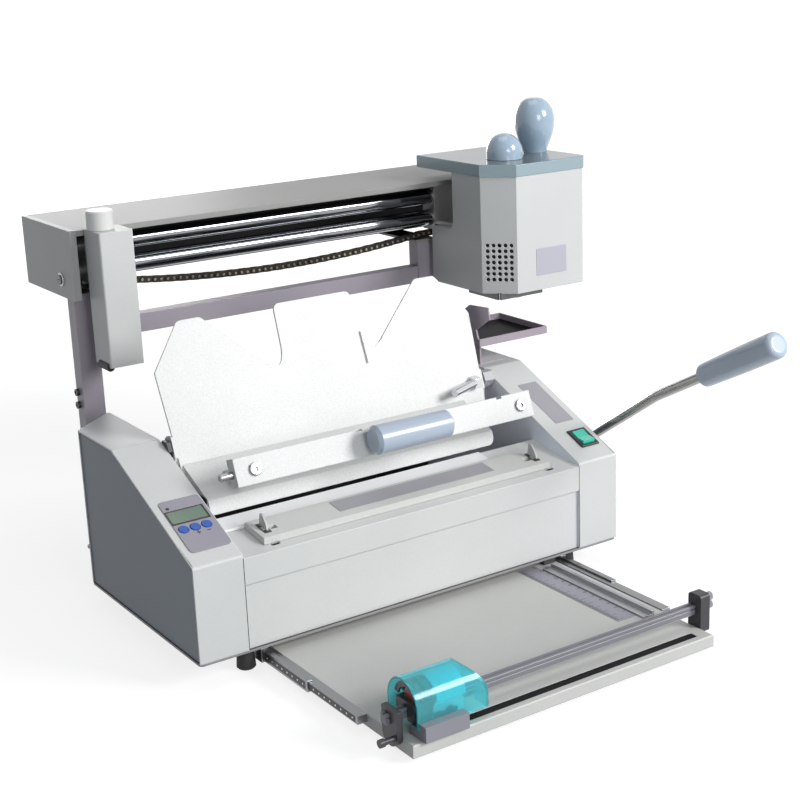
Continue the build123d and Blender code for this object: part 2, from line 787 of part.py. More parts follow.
def beam_ends():
    left = prism_yz(
        [(beam_front_y, beam_bottom_z), (beam_front_y, beam_top_z), (beam_back_y, beam_top_z),
         (beam_back_y, beam_bottom_z)], beam_left_x, beam_left_x + end_plate_thickness, 1.5)
    # The right plate leaves room for the back of the head's box
    chain_front_y = head_back_y + 0.8
    right = prism_yz(
        [(chain_front_y, beam_bottom_z), (chain_front_y, head_notch_z + 8), (beam_front_y, head_notch_z + 8),
         (beam_front_y, beam_top_z), (beam_back_y, beam_top_z), (beam_back_y, beam_bottom_z)],
        beam_right_x - end_plate_thickness, beam_right_x, 1.2)
    screw = revolve(Plane.XZ * make_face(Polyline((0, 0), (0, 4), (1.6, 4), (2.2, 3), (2.2, 0), close=True)), Axis.X)
    screw -= box_between((1.6, -3, -0.5), (3, 3, 0.5))
    heads = [
        Pos(beam_left_x, beam_front_y + 30, 278) * Rot(0, 0, 180) * screw,
        Pos(beam_right_x, beam_front_y + 60, 292) * screw,
    ]
    return [left + heads[0], right + heads[1]]


def guide_rods():
    left, right = beam_left_x + end_plate_thickness, beam_right_x - end_plate_thickness
    return [rod_x(rod_y, z, rod_radius, left, right) for z in (upper_rod_z, lower_rod_z)]


def chain_height(x):
    low_x, half = 35.0, 160.0
    lift = chain_sag * ((x - low_x) / half) ** 2
    return chain_end_z - chain_sag + min(lift, chain_sag)


def drive_chain():
    points = [Vector(chain_left_x, chain_y, chain_height(chain_left_x))]
    while points[-1].X + chain_pitch < chain_right_x:
        last = points[-1]
        rise = chain_height(last.X + chain_pitch) - last.Z
        points.append(Vector(last.X + sqrt(chain_pitch ** 2 - rise ** 2), chain_y, last.Z + rise))
    half, tip = chain_pitch / 2, chain_plate_height * 0.42
    corners = [(-half - tip, 0), (-half, tip * 1.15), (half, tip * 1.15), (half + tip, 0), (half, -tip * 1.15),
               (-half, -tip * 1.15)]
    link_plate = extrude(polygon_face(corners), amount=chain_plate_thickness)
    roller = extrude(RegularPolygon(chain_roller_radius, 6), amount=2 * chain_inner_y + 0.02)
    links = []
    for index in range(len(points) - 1):
        start, end = points[index], points[index + 1]
        centre = (start + end) * 0.5
        direction = (end - start).normalized()
        offset_y = chain_outer_y if index % 2 else chain_inner_y
        planes = [
            Plane(origin=(centre.X, chain_y + y, centre.Z), x_dir=direction, z_dir=(0, 1, 0))
            for y in (offset_y, -offset_y - chain_plate_thickness)]
        pair = [plane * link_plate for plane in planes]
        if index % 2:
            links += pair
            continue
        for point in (start, end):
            plane = Plane(
                origin=(point.X, chain_y - chain_inner_y - 0.01, point.Z), x_dir=direction, z_dir=(0, 1, 0))
            pair.append(plane * roller)
        links.append(pair[0] + pair[1] + pair[2] + pair[3])
    # Eye bolt from the left end plate to the first link
    eye_end = chain_left_x - 4.0
    bolt = rod_x(chain_y, chain_end_z, 2.2, beam_left_x + end_plate_thickness, eye_end)
    nut = extrude(
        Plane.YZ.offset(beam_left_x + end_plate_thickness) * Pos(chain_y, chain_end_z) * RegularPolygon(3.6, 6),
        amount=3)
    return links + [bolt + nut]


def drip_pan():
    front, back = drip_front_y, drip_back_y
    outer = box_between((drip_left_x, front, drip_bottom_z), (drip_right_x, back, drip_top_z))
    inner = box_between(
        (drip_left_x + sheet, front + sheet, drip_bottom_z + sheet),
        (drip_right_x - sheet, back - sheet, drip_top_z + 1))
    shield = prism_yz(
        [(front, drip_bottom_z), (front + 6, 199), (front - 16, 213), (front - 14, 224), (9, 222), (24, 212),
         (back, 211.5), (back, drip_bottom_z)], drip_left_x, drip_left_x + sheet)
    stand = box_between(
        (drip_left_x + 6, 2, top_kink_z), (drip_left_x + 6 + sheet, 52, drip_bottom_z))
    foot = box_between((drip_left_x + 6, 2, top_kink_z), (drip_left_x + 34, 52, top_kink_z + sheet))
    return outer - inner + shield + stand + foot


def head_outline(inset):
    left, right = head_left_x + inset, head_right_x - inset
    front, back = head_front_y + inset, head_back_y - inset
    cut_x, cut_y = head_chamfer
    bite = inset * 0.41
    return [
        (left, back),
        (left, front + cut_y - bite),
        (left + cut_x - bite, front),
        (right - head_right_chamfer + bite, front),
        (right, front + head_right_chamfer - bite),
        (right, back),
    ]


def head_body(inset):
    body = prism_xy(head_outline(inset), head_bottom_z + inset, head_top_z + (5 if inset else 0))
    notch = box_between(
        (head_left_x - 5, head_notch_y - inset, head_notch_z - inset), (head_right_x + 5, 200, head_top_z + 20))
    corner = notch.edges().filter_by(Axis.X).sort_by(lambda edge: edge.center().Y + edge.center().Z)[0]
    return body - fillet(corner, 9)


def head_housing():
    shell = head_body(0) - head_body(head_wall)
    cut_x, cut_y = head_chamfer
    vent_plane = Plane(
        origin=(head_left_x + cut_x / 2, head_front_y + cut_y / 2, vent_bottom_z),
        x_dir=(cut_x, -cut_y, 0), z_dir=(-cut_y, -cut_x, 0))
    vents = []
    for column in range(vent_columns):
        for row in range(vent_rows):
            across = (column - (vent_columns - 1) / 2) * vent_pitch[0]
            vents.append(vent_plane * Pos(across, row * vent_pitch[1], 0) * Cylinder(vent_radius, 6))
    throat = box_between(
        (roller_x - roller_radius - 3, roller_front_y - 3, head_bottom_z - 1),
        (roller_x + roller_radius + 3, roller_back_y + 3, head_bottom_z + 3))
    shaft_hole = rod_y_dir(roller_x, roller_z, roller_shaft_radius + shaft_clearance, head_back_y - 5, head_back_y + 5)
    return shell - vents - throat - shaft_hole


def head_lid():
    overhang = 1.2
    cut_x, cut_y = head_chamfer
    left, right, front = head_left_x - overhang, head_right_x + overhang, head_front_y - overhang
    outline = [
        (left, lid_back_y),
        (left, front + cut_y + 0.5),
        (left + cut_x + 0.5, front),
        (right - head_right_chamfer - 0.5, front),
        (right, front + head_right_chamfer + 0.5),
        (right, lid_back_y),
    ]
    lid = prism_xy(outline, head_top_z, head_top_z + lid_thickness)
    lid = fillet(lid.edges().group_by(Axis.Z)[-1], 0.8)
    # Underside hollow, clear of the box's rim
    hollow = box_between(
        (head_left_x + 30, head_front_y + 30, head_top_z - 1),
        (head_right_x - 8, lid_back_y - 3, head_top_z + lid_thickness - 2.5))
    bore = rod_z(*dome_centre, 4.0 + shaft_clearance, head_top_z - 1, head_top_z + 30)
    return lid - hollow - bore


def bulb_handle():
    r, h = bulb_radius, bulb_height
    profile = [
        (0, 0), (11.8, 0), (14.6, 8), (18.4, 18), (r, h * 0.56), (r * 0.9, h * 0.78), (r * 0.55, h * 0.95), (0, h)]
    curve = [
        Line(profile[0], profile[1]),
        Spline(*profile[1:], tangents=[(0.25, 1), (-1, 0)]),
        Line(profile[-1], profile[0]),
    ]
    bulb = revolve(Plane.XZ * make_face(curve), Axis.Z)
    return Pos(*bulb_centre, head_top_z + lid_thickness) * bulb


def dome_knob():
    r, h = dome_radius, dome_height
    cap = Pos(0, 0, h - r) * Sphere(r) & box_between((-r, -r, h - r), (r, r, h))
    skirt = rod_z(0, 0, r, gap, h - r)
    shaft = rod_z(0, 0, 4.0, -lid_thickness + 2, gap)
    return Pos(*dome_centre, head_top_z + lid_thickness) * (cap + skirt + shaft)


def head_bearings():
    blocks = []
    for low_x, high_x in ((head_left_x + 9, head_left_x + 35), (head_left_x + 68, head_left_x + 94)):
        block = box_between((low_x, chain_y + 3.7, 272), (high_x, rod_y + 11, 318))
        foot = box_between(
            (low_x, head_notch_y + 10, head_notch_z), (high_x, chain_y + 4, head_notch_z + 4))
        blocks.append(block + foot - rod_bores(low_x, high_x))
    return blocks


def rod_bores(low_x, high_x):
    return [rod_x(rod_y, z, rod_radius + shaft_clearance, low_x - 1, high_x + 1) for z in (upper_rod_z, lower_rod_z)]


def glue_tank():
    play = 0.6
    low_z, high_z = head_bottom_z + head_wall, roller_z + roller_radius + 12
    high_x, back_y = roller_x + roller_radius + 30, roller_back_y + 5
    tank = prism_xy(head_outline(head_wall + 0.8), low_z, high_z)
    tank &= box_between((head_left_x, head_front_y, low_z), (high_x, back_y, high_z))
    around = rod_y_dir(roller_x, roller_z, roller_radius + play, roller_front_y - play, roller_back_y + play)
    throat = box_between(
        (roller_x - roller_radius - play, roller_front_y - play, low_z - 1),
        (roller_x + roller_radius + play, roller_back_y + play, roller_z))
    well = box_between(
        (roller_x - roller_radius + 4, roller_front_y + 3, roller_z + roller_radius - 6),
        (high_x - 4, roller_back_y, high_z + 1))
    shaft = rod_y_dir(
        roller_x, roller_z, roller_shaft_radius + shaft_clearance, roller_front_y - 3.6, roller_back_y + 20)
    return tank - around - throat - well - shaft


def sprocket():
    pitch_radius = chain_pitch / (2 * sin(radians(180 / sprocket_teeth)))
    points = []
    for tooth in range(sprocket_teeth):
        for fraction, radius in ((-0.3, pitch_radius - 2), (-0.12, pitch_radius + 2), (0.12, pitch_radius + 2),
                                 (0.3, pitch_radius - 2)):
            angle = radians(360 * (tooth + fraction) / sprocket_teeth)
            points.append((radius * cos(angle), radius * sin(angle)))
    return extrude(polygon_face(points), amount=sprocket_thickness)


def glue_roller():
    drum = rod_y_dir(roller_x, roller_z, roller_radius, roller_front_y, roller_back_y)
    shaft = rod_y_dir(roller_x, roller_z, roller_shaft_radius, roller_front_y - 3, chain_y + sprocket_thickness / 2 + 1)
    wheel = Plane(
        origin=(roller_x, chain_y - sprocket_thickness / 2, roller_z), x_dir=(1, 0, 0), z_dir=(0, 1, 0)) * sprocket()
    return drum + shaft + wheel


def notcher_housing():
    outline = [
        (notcher_left_x, notcher_front_y), (notcher_right_x, notcher_front_y), (notcher_right_x, notcher_back_y),
        (notcher_left_x, notcher_back_y)]
    column = prism_xy(outline, notcher_bottom_z, notcher_top_z)
    column = fillet(column.edges().filter_by(Axis.Z), 2)
    hollow = box_between(
        (notcher_left_x + 2, notcher_front_y + 2, notcher_bottom_z - 1),
        (notcher_right_x - 2, notcher_back_y - 2, notcher_top_z - 3))
    bore = rod_z(*knob_centre, 4.0 + shaft_clearance, notcher_top_z - 5, notcher_top_z + 5)
    return column - hollow - bore


def notcher_bearing():
    low_x, high_x = notcher_left_x + 2, notcher_right_x - 2
    profile = [
        (notcher_back_y, head_notch_z - 2),
        (chain_y + 3.7, head_notch_z - 2),
        (chain_y + 3.7, 272),
        (rod_y + 11, 272),
        (rod_y + 11, 318),
        (notcher_back_y, 318),
    ]
    return prism_yz(profile, low_x, high_x) - rod_bores(low_x, high_x)


def notch_cutter():
    front, back = notcher_front_y + 2, notcher_back_y - 2
    low_z = notcher_bottom_z + 1.5
    holder = box_between((notcher_left_x + 2, front, low_z), (notcher_right_x - 2, back, low_z + 6))
    teeth = [(front + 4, low_z + 0.5), (front + 8, notch_blade_z), (back - 8, notch_blade_z), (back - 4, low_z + 0.5)]
    middle = (notcher_left_x + notcher_right_x) / 2
    blades = [prism_yz(teeth, middle + x - 0.6, middle + x + 0.6) for x in (-8, 0, 8)]
    return holder + blades


def notcher_knob():
    knob = rod_z(*knob_centre, knob_radius, notcher_top_z + gap, notcher_top_z + knob_height)
    knob = chamfer(knob.edges().group_by(Axis.Z)[-1], 1.2)
    shaft = rod_z(*knob_centre, 4.0, notcher_top_z - 8, notcher_top_z + 2)
    return knob + shaft


def tray_board():
    half = tray_half_width
    low_z = tray_top_z - tray_thickness
    board = box_between((-half, tray_front_y, low_z), (half, tray_back_y, tray_top_z))
    board = chamfer(board.edges().group_by(Axis.Z)[-1], 0.8)
    groove = box_between(
        (mat_left_x, cutter_wheel_y - 4, tray_top_z - 1), (mat_right_x, cutter_wheel_y + 4, tray_top_z + 1))
    return board - groove


def tray_fence():
    left, right = fence_x - fence_width / 2, fence_x + fence_width / 2
    base = box_between((left, -287, tray_top_z), (right, -155, tray_top_z + 1.5))
    wall = box_between((right - 3, -287, tray_top_z), (right, -155, tray_top_z + fence_height))
    return base + wall


def cutter_rail():
    front, back = rail_y - rail_width / 2, rail_y + rail_width / 2
    top = rail_bottom_z + rail_height
    rail = box_between((rail_left_x, front, rail_bottom_z), (rail_right_x, back, top))
    grooves = [
        box_between((rail_left_x - 1, rail_y - 1, top - 1.2), (rail_right_x + 1, rail_y + 1, top + 1)),
        box_between((rail_left_x - 1, front - 1, top - 3.2), (rail_right_x + 1, front + 0.8, top - 2.2)),
    ]
    return rail - grooves


def rail_blocks():
    rail_top = rail_bottom_z + rail_height
    right = box_between((rail_right_x, rail_y - 10, tray_top_z - 5), (rail_right_x + 10, rail_y + 4.5, rail_top + 10))
    right = fillet(right.edges().filter_by(Axis.X), 3)
    # Left bracket: round below, with a window for the rail and a stop pin
    low, high, radius, centre_z = -tray_half_width - 5, -tray_half_width, 10.0, 17.0
    left = rod_x(rail_y - 3, centre_z, radius, low, high)
    left += box_between((low, rail_y - 3 - radius, centre_z), (high, rail_y - 3 + radius, rail_top + 4))
    play = 0.05
    left -= box_between(
        (low - 1, rail_y - rail_width / 2 - play, rail_bottom_z - play),
        (high + 1, rail_y + rail_width / 2 + play, rail_top + play))
    left += rod_x(rail_y - 9, 15, 2.4, low - 9, low) + rod_x(rail_y - 9, 15, 3.2, low - 13, low - 9)
    # Stop at the back of the board, under the body's front edge
    stop_x_low = tray_half_width - 15
    rear = box_between((stop_x_low, tray_back_y - 9, tray_top_z), (stop_x_low + 12.5, tray_back_y - 1, tray_top_z + 4.5))
    return [right, left, rear]


def channel(outer_x, depth, height, thickness, y_low, y_high):
    bottom, top = slide_centre_z - height / 2, slide_centre_z + height / 2
    outer = box_between((outer_x, y_low, bottom), (outer_x + depth, y_high, top))
    inner = box_between(
        (outer_x + thickness, y_low - 1, bottom + thickness), (outer_x + depth + 1, y_high + 1, top - thickness))
    return outer - inner


def both_sides(part):
    return [part, mirror(part, Plane.YZ)]


def slide_outers():
    member = channel(-slide_outer_x, 6.0, slide_height, slide_wall, slide_closed_y, slide_closed_y + slide_length)
    top = slide_centre_z + slide_height / 2
    flange = box_between(
        (-slide_outer_x, slide_closed_y, top - slide_wall), (-slide_outer_x + slide_wall, slide_closed_y + slide_length,
                                                          base_underside_z))
    return both_sides(member + flange)


def slide_middles():
    x = -slide_outer_x + slide_wall + 0.3
    height = slide_height - 2 * slide_wall - 0.6
    start = slide_closed_y - tray_travel / 2
    return both_sides(channel(x, 4.8, height, slide_wall, start, start + slide_length))


def slide_inners():
    x = -slide_outer_x + 2 * slide_wall + 0.6
    height = slide_height - 4 * slide_wall - 1.2
    start = slide_closed_y - tray_travel
    member = box_between(
        (x, start, slide_centre_z - height / 2), (-tray_half_width, start + slide_length, slide_centre_z + height / 2))
    return both_sides(member)


def cutter_body():
    x_low, x_high = cutter_x - 28, cutter_x + 12
    play = 2 * shaft_clearance
    front, back = rail_y - rail_width / 2, rail_y + rail_width / 2
    top = rail_bottom_z + rail_height
    body = box_between((x_low, front - 9, cutter_wheel_z - 6), (x_high, back + 7, top + 5))
    body -= box_between((x_low - 1, front - play, 0), (x_high + 1, back + play, top + play))
    axle = rod_y_dir(cutter_x, cutter_wheel_z, 3.0, cutter_wheel_y - 2, front - 8)
    drum = rod_x(rail_y - 1, top + 5, 7, x_low + 4, x_high - 4) & box_between(
        (x_low, -400, top + 4), (x_high, 0, 80))
    return body + axle + drum


def hood_solid(inset):
    radius, centre_y = cutter_hood_radius - inset, rail_y - 1
    x_low, x_high = cutter_x - 30, cutter_x + 16
    x_tip = x_high + cutter_hood_nose - inset
    low_z, top_z = cutter_hood_low_z - (5 if inset else 0), cutter_hood_z + radius
    section = rod_x(centre_y, cutter_hood_z, radius, x_low, x_tip)
    section += box_between((x_low, centre_y - radius, low_z), (x_tip, centre_y + radius, cutter_hood_z))
    # Seen from the side the nose is a quarter round that comes down to the board
    half_chord = radians(45)
    outline = [
        Line((x_low, low_z), (x_low, top_z)),
        Line((x_low, top_z), (x_high, top_z)),
        ThreePointArc(
            (x_high, top_z),
            (x_high + (x_tip - x_high) * cos(half_chord), low_z + (top_z - low_z) * sin(half_chord)),
            (x_tip, low_z)),
        Line((x_tip, low_z), (x_low, low_z)),
    ]
    side = extrude(Plane.XZ.offset(-centre_y) * make_face(outline), amount=radius + 1, both=True)
    return section & side


def cutter_hood():
    open_end = Pos(-1, 0, 0) * hood_solid(hood_wall)
    rail_gap = box_between(
        (cutter_x - 40, rail_y - rail_width / 2 - 0.5, 0),
        (cutter_x + 60, rail_y + rail_width / 2 + 0.5, rail_bottom_z + rail_height + 0.5))
    return hood_solid(0.0) - hood_solid(hood_wall) - open_end - rail_gap


def cutter_wheel():
    y_low, y_high = cutter_wheel_y - 1.0, cutter_wheel_y + 1.0
    disc = rod_y_dir(cutter_x, cutter_wheel_z, cutter_wheel_radius, y_low, y_high)
    disc = chamfer(disc.edges(), 0.8)
    hub = rod_y_dir(cutter_x, cutter_wheel_z, 7, y_low - 0.8, y_high + 0.6)
    bore = rod_y_dir(cutter_x, cutter_wheel_z, 3.0 + shaft_clearance, y_low - 3, y_high + 3)
    return disc + hub - bore


def press_block():
    hood_front_y = rail_y - 1 - cutter_hood_radius
    floor = tray_top_z + gap
    block = box_between((cutter_x - 29, hood_front_y - 8, floor), (cutter_x + 9, hood_front_y, 26.5))
    foot = box_between((cutter_x - 29, hood_front_y, floor), (cutter_x - 16, rail_y - 8, cutter_hood_low_z - gap))
    return block + foot


def power_inlet():
    x, z = 120.0, 50.0
    flange = Pos(x, rear_panel_y + sheet + 1, z) * Box(50, 2, 28)
    body = Pos(x, rear_panel_y + sheet - 10, z) * Box(27, 20, 20)
    mouth = Pos(x, rear_panel_y + sheet, z) * Box(24, 30, 16)
    socket = flange + body - mouth
    for dx, dz in ((-7, 2), (7, 2), (0, -2)):
        socket += Pos(x + dx, rear_panel_y + sheet - 10, z + dz) * Box(2, 14, 4)
    return socket


def write(name, shape):
    shapes = shape if isinstance(shape, (list, tuple)) else [shape]
    solids = [solid.moved(Location((foot_x, foot_y, 0))) for item in shapes for solid in item.solids()]
    result = solids[0] if len(solids) == 1 else Compound(children=solids)
    result.label = name
    export_step(result, f"parts/{name}.step")


os.makedirs("parts", exist_ok=True)

write("base_plate", base_plate())
write("feet", feet())
write("left_housing", housing(-1))
write("right_housing", housing(1))
write("side_panels", side_panels())
write("deck", deck())
write("front_panel", front_panel())
write("rear_panel", rear_panel())
write("nip_bar", nip_bar())
write("nip_jaw", nip_jaw())
write("left_stop", side_stop(-1))
write("right_stop", side_stop(1))
write("nip_shaft", nip_shaft())
write("nip_lever", nip_lever())
write("lever_grip", lever_grip())
write("control_plate", control_plate())
write("display", display())
for button_name, button_x in zip(("set_button", "up_button", "down_button"), button_xs):
    write(button_name, button(button_x))
write("control_board", control_board())
write("switch_bezel", switch_bezel())
write("power_rocker", power_rocker())
write("clamp_plate", clamp_plate())
write("rear_jaw", rear_jaw())
write("guide_pins", guide_pins())
write("clamp_bar", clamp_bar())
write("bar_grip", bar_grip())
write("pivot_pins", pivot_pins())
write("lock_rod", lock_rod())
write("posts", posts())
write("cross_bar", cross_bar())
write("beam_cover", beam_cover())
write("beam_ends", beam_ends())
write("guide_rods", guide_rods())
write("drive_chain", drive_chain())
write("drip_pan", drip_pan())
write("head_housing", head_housing())
write("head_lid", head_lid())
write("bulb_handle", bulb_handle())
write("dome_knob", dome_knob())
write("head_bearings", head_bearings())
write("glue_tank", glue_tank())
write("glue_roller", glue_roller())
write("notcher_housing", notcher_housing())
write("notcher_bearing", notcher_bearing())
write("notch_cutter", notch_cutter())
write("notcher_knob", notcher_knob())
write("tray_board", tray_board())
write("tray_fence", tray_fence())
write("cutter_rail", cutter_rail())
write("rail_blocks", rail_blocks())
write("slide_outers", slide_outers())
write("slide_middles", slide_middles())
write("slide_inners", slide_inners())
write("cutter_body", cutter_body())
write("cutter_hood", cutter_hood())
write("cutter_wheel", cutter_wheel())
write("press_block", press_block())
write("power_inlet", power_inlet())
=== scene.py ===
import math

import bmesh
import bpy
from mathutils import Matrix, Vector


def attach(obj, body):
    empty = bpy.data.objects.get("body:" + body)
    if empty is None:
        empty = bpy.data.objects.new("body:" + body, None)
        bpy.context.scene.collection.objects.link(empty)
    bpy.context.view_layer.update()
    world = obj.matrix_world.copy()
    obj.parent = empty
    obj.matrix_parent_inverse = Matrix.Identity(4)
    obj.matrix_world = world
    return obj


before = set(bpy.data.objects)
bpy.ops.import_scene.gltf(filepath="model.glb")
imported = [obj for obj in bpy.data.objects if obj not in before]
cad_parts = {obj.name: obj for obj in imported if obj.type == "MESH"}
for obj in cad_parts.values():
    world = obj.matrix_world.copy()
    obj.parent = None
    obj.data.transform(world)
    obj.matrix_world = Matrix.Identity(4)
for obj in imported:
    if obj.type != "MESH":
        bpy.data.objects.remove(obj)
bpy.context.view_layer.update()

# Photograph's viewpoint: a studio lens from the front left, a little above the machine.
# The camera's place, its roll and the lens shift were fitted to the body's long edges.
middle_x, middle_y = 0.166, 0.134


def at(x, y, z):
    """A place in millimetres from the table point midway between the four feet."""
    return Vector((x / 1000 + middle_x, y / 1000 + middle_y, z / 1000))


photo_side, photo_middle = 800, 400
focal_pixels = 1546.79
axis_across, axis_down = 422.43, 393.52
turn, tilt, roll = math.radians(33.86), math.radians(16.22), math.radians(-2.09)
ahead = Vector((math.sin(turn) * math.cos(tilt), math.cos(turn) * math.cos(tilt), -math.sin(tilt)))
level_right = Vector((math.cos(turn), -math.sin(turn), 0))
level_up = level_right.cross(ahead)
camera_right = level_right * math.cos(roll) + level_up * math.sin(roll)
camera_up = camera_right.cross(ahead)
lens = bpy.data.cameras.new("photo_lens")
lens.sensor_width = 36
lens.lens = focal_pixels / photo_side * 36
lens.shift_x = (photo_middle - axis_across) / photo_side
lens.shift_y = (axis_down - photo_middle) / photo_side
lens.clip_start = 0.05
camera = bpy.data.objects.new("photo_camera", lens)
camera.matrix_world = Matrix.Translation(at(-675.7, -1162.6, 555.3)) @ Matrix(
    (camera_right, camera_up, -ahead)).transposed().to_4x4()
bpy.context.collection.objects.link(camera)
bpy.context.scene.camera = camera


# Studio: a white floor and soft lamps, the main one high on the right so that the left sides fall
# into shade as they do in the photograph. White shows to camera, mirror and see-through rays alone.
def feed(tree, made, sockets):
    """Gives each named socket of a node its value, or a link where an output is given."""
    for name, value in sockets.items():
        if isinstance(value, bpy.types.NodeSocket):
            tree.links.new(value, made.inputs[name])
        else:
            made.inputs[name].default_value = value
    return made


def node(tree, kind, sockets=None, **settings):
    """Adds a node with its own settings first, then what feeds it."""
    made = tree.nodes.new(kind)
    for name, value in settings.items():
        setattr(made, name, value)
    return feed(tree, made, sockets or {})


def reckon(tree, operation, one, two):
    """One step of arithmetic on two numbers or outputs."""
    return node(tree, "ShaderNodeMath", {0: one, 1: two}, operation=operation).outputs[0]


def seen_rays(tree):
    """One for rays that show a thing itself, nought for those that only light others."""
    rays = node(tree, "ShaderNodeLightPath").outputs
    seen = reckon(tree, "MAXIMUM", rays["Is Camera Ray"], rays["Is Transmission Ray"])
    return reckon(tree, "MAXIMUM", seen, rays["Is Glossy Ray"])


def mixed(tree, lighting, shown):
    """One shader for the light that is cast, another for what is seen."""
    both = {0: seen_rays(tree), 1: lighting.outputs[0], 2: shown.outputs[0]}
    return node(tree, "ShaderNodeMixShader", both).outputs[0]


bpy.context.scene.view_settings.view_transform = "Standard"
studio = bpy.data.worlds.new("studio")
bpy.context.scene.world = studio
studio.use_nodes = True
tree = studio.node_tree
tree.nodes.clear()
soft = node(tree, "ShaderNodeBackground", {"Color": (0.86, 0.93, 1.0, 1), "Strength": 0.20})
white = node(tree, "ShaderNodeBackground", {"Color": (1, 1, 1, 1)})
node(tree, "ShaderNodeOutputWorld", {"Surface": mixed(tree, soft, white)})

bpy.ops.mesh.primitive_plane_add(size=60, location=(0, 0, 0))
floor = bpy.context.object
floor.name = "studio_floor"
floor_look = bpy.data.materials.new("studio_floor")
floor_look.use_nodes = True
tree = floor_look.node_tree
tree.nodes.clear()
matt = node(tree, "ShaderNodeBsdfDiffuse", {"Color": (0.46, 0.47, 0.48, 1)})
shadow = node(tree, "ShaderNodeBsdfDiffuse", {"Color": (0.30, 0.30, 0.30, 1)})
spot = node(tree, "ShaderNodeTexCoord").outputs["Object"]
distance = node(tree, "ShaderNodeVectorMath", {0: spot}, operation="LENGTH").outputs["Value"]
level = node(tree, "ShaderNodeMapRange", {
    "Value": distance, "From Min": 0.7, "From Max": 2.0, "To Min": 0.80, "To Max": 1.0})
glow = node(tree, "ShaderNodeEmission", {"Color": (1, 1, 1, 1), "Strength": level.outputs["Result"]})
shown = node(tree, "ShaderNodeAddShader", {0: shadow.outputs[0], 1: glow.outputs[0]})
node(tree, "ShaderNodeOutputMaterial", {"Surface": mixed(tree, matt, shown)})
floor.data.materials.append(floor_look)


def soft_lamp(name, place, target, size, watts):
    """A square lamp, its side in metres, that looks at a target."""
    lamp = bpy.data.lights.new(name, "AREA")
    lamp.shape = "SQUARE"
    lamp.size = size
    lamp.energy = watts
    holder = bpy.data.objects.new(name, lamp)
    holder.location = place
    holder.rotation_euler = (target - place).to_track_quat("-Z", "Y").to_euler()
    bpy.context.collection.objects.link(holder)


soft_lamp("key_lamp", at(1500, -2200, 1450), at(50, -50, 150), 1.0, 66)
soft_lamp("top_lamp", at(200, 300, 2400), at(0, 0, 100), 1.4, 9)
soft_lamp("front_lamp", at(-300, -2700, 900), at(0, 0, 150), 1.0, 21)
soft_lamp("back_lamp", at(700, 2700, 420), at(0, 150, 180), 1.0, 16)


# Base: a bent sheet under everything, powder coated mid grey with its top painted black as painted shade, on
# four moulded rubber feet.
# Every painted piece has the fine orange peel of powder coat, softly rounded edges and a painted highlight
# along them.
def finished(look, tone, grain, normal, strength, depth, sockets):
    """Joins a tone and a fine bump, its depth in metres, to a material's shader."""
    tree = look.node_tree
    bump = node(tree, "ShaderNodeBump", {
        "Strength": strength, "Distance": depth, "Height": grain, "Normal": normal})
    feed(tree, tree.nodes["Principled BSDF"], {
        "Base Color": tone, "Normal": bump.outputs["Normal"], **sockets})
    return look


def painted(name, colour, rough=0.42, peel=0.00005, tone=0.04, edge=0.0007, edge_highlight=0.25, speck=0.0):
    """Powder coat: a cloudy tone, fine specks of its own grit, and a painted highlight along its edges."""
    look = bpy.data.materials.new(name)
    look.use_nodes = True
    tree = look.node_tree
    place = node(tree, "ShaderNodeTexCoord").outputs["Object"]
    patches = node(tree, "ShaderNodeTexNoise", {"Vector": place, "Scale": 9.0, "Detail": 3.0})
    shade = node(tree, "ShaderNodeMapRange", {
        "Value": patches.outputs["Fac"], "From Min": 0.3, "From Max": 0.7,
        "To Min": 1.0 - tone, "To Max": 1.0 + tone * 0.5})
    grain = node(tree, "ShaderNodeTexNoise", {"Vector": place, "Scale": 700.0, "Detail": 2.0})
    specks = node(tree, "ShaderNodeMapRange", {
        "Value": grain.outputs["Fac"], "From Min": 0.35, "From Max": 0.65,
        "To Min": -speck, "To Max": speck})
    round_edge = node(tree, "ShaderNodeBevel", {"Radius": edge}, samples=4).outputs["Normal"]
    flat = node(tree, "ShaderNodeNewGeometry").outputs["Normal"]
    turned_away = node(tree, "ShaderNodeVectorMath", {0: round_edge, 1: flat}, operation="DOT_PRODUCT")
    # Painted highlight: the coat is made paler where the rounded edge turns away from the flat face.
    painted_edge_light = node(tree, "ShaderNodeMapRange", {
        "Value": turned_away.outputs["Value"], "From Min": 0.98, "From Max": 0.80, "To Max": edge_highlight})
    total = reckon(tree, "ADD", shade.outputs["Result"], painted_edge_light.outputs["Result"])
    total = reckon(tree, "ADD", total, specks.outputs["Result"])
    tint = node(tree, "ShaderNodeVectorMath", {0: colour, "Scale": total}, operation="SCALE")
    return finished(look, tint.outputs["Vector"], grain.outputs["Fac"], round_edge, 0.35, peel,
                    {"Roughness": rough, "Metallic": 0.0})


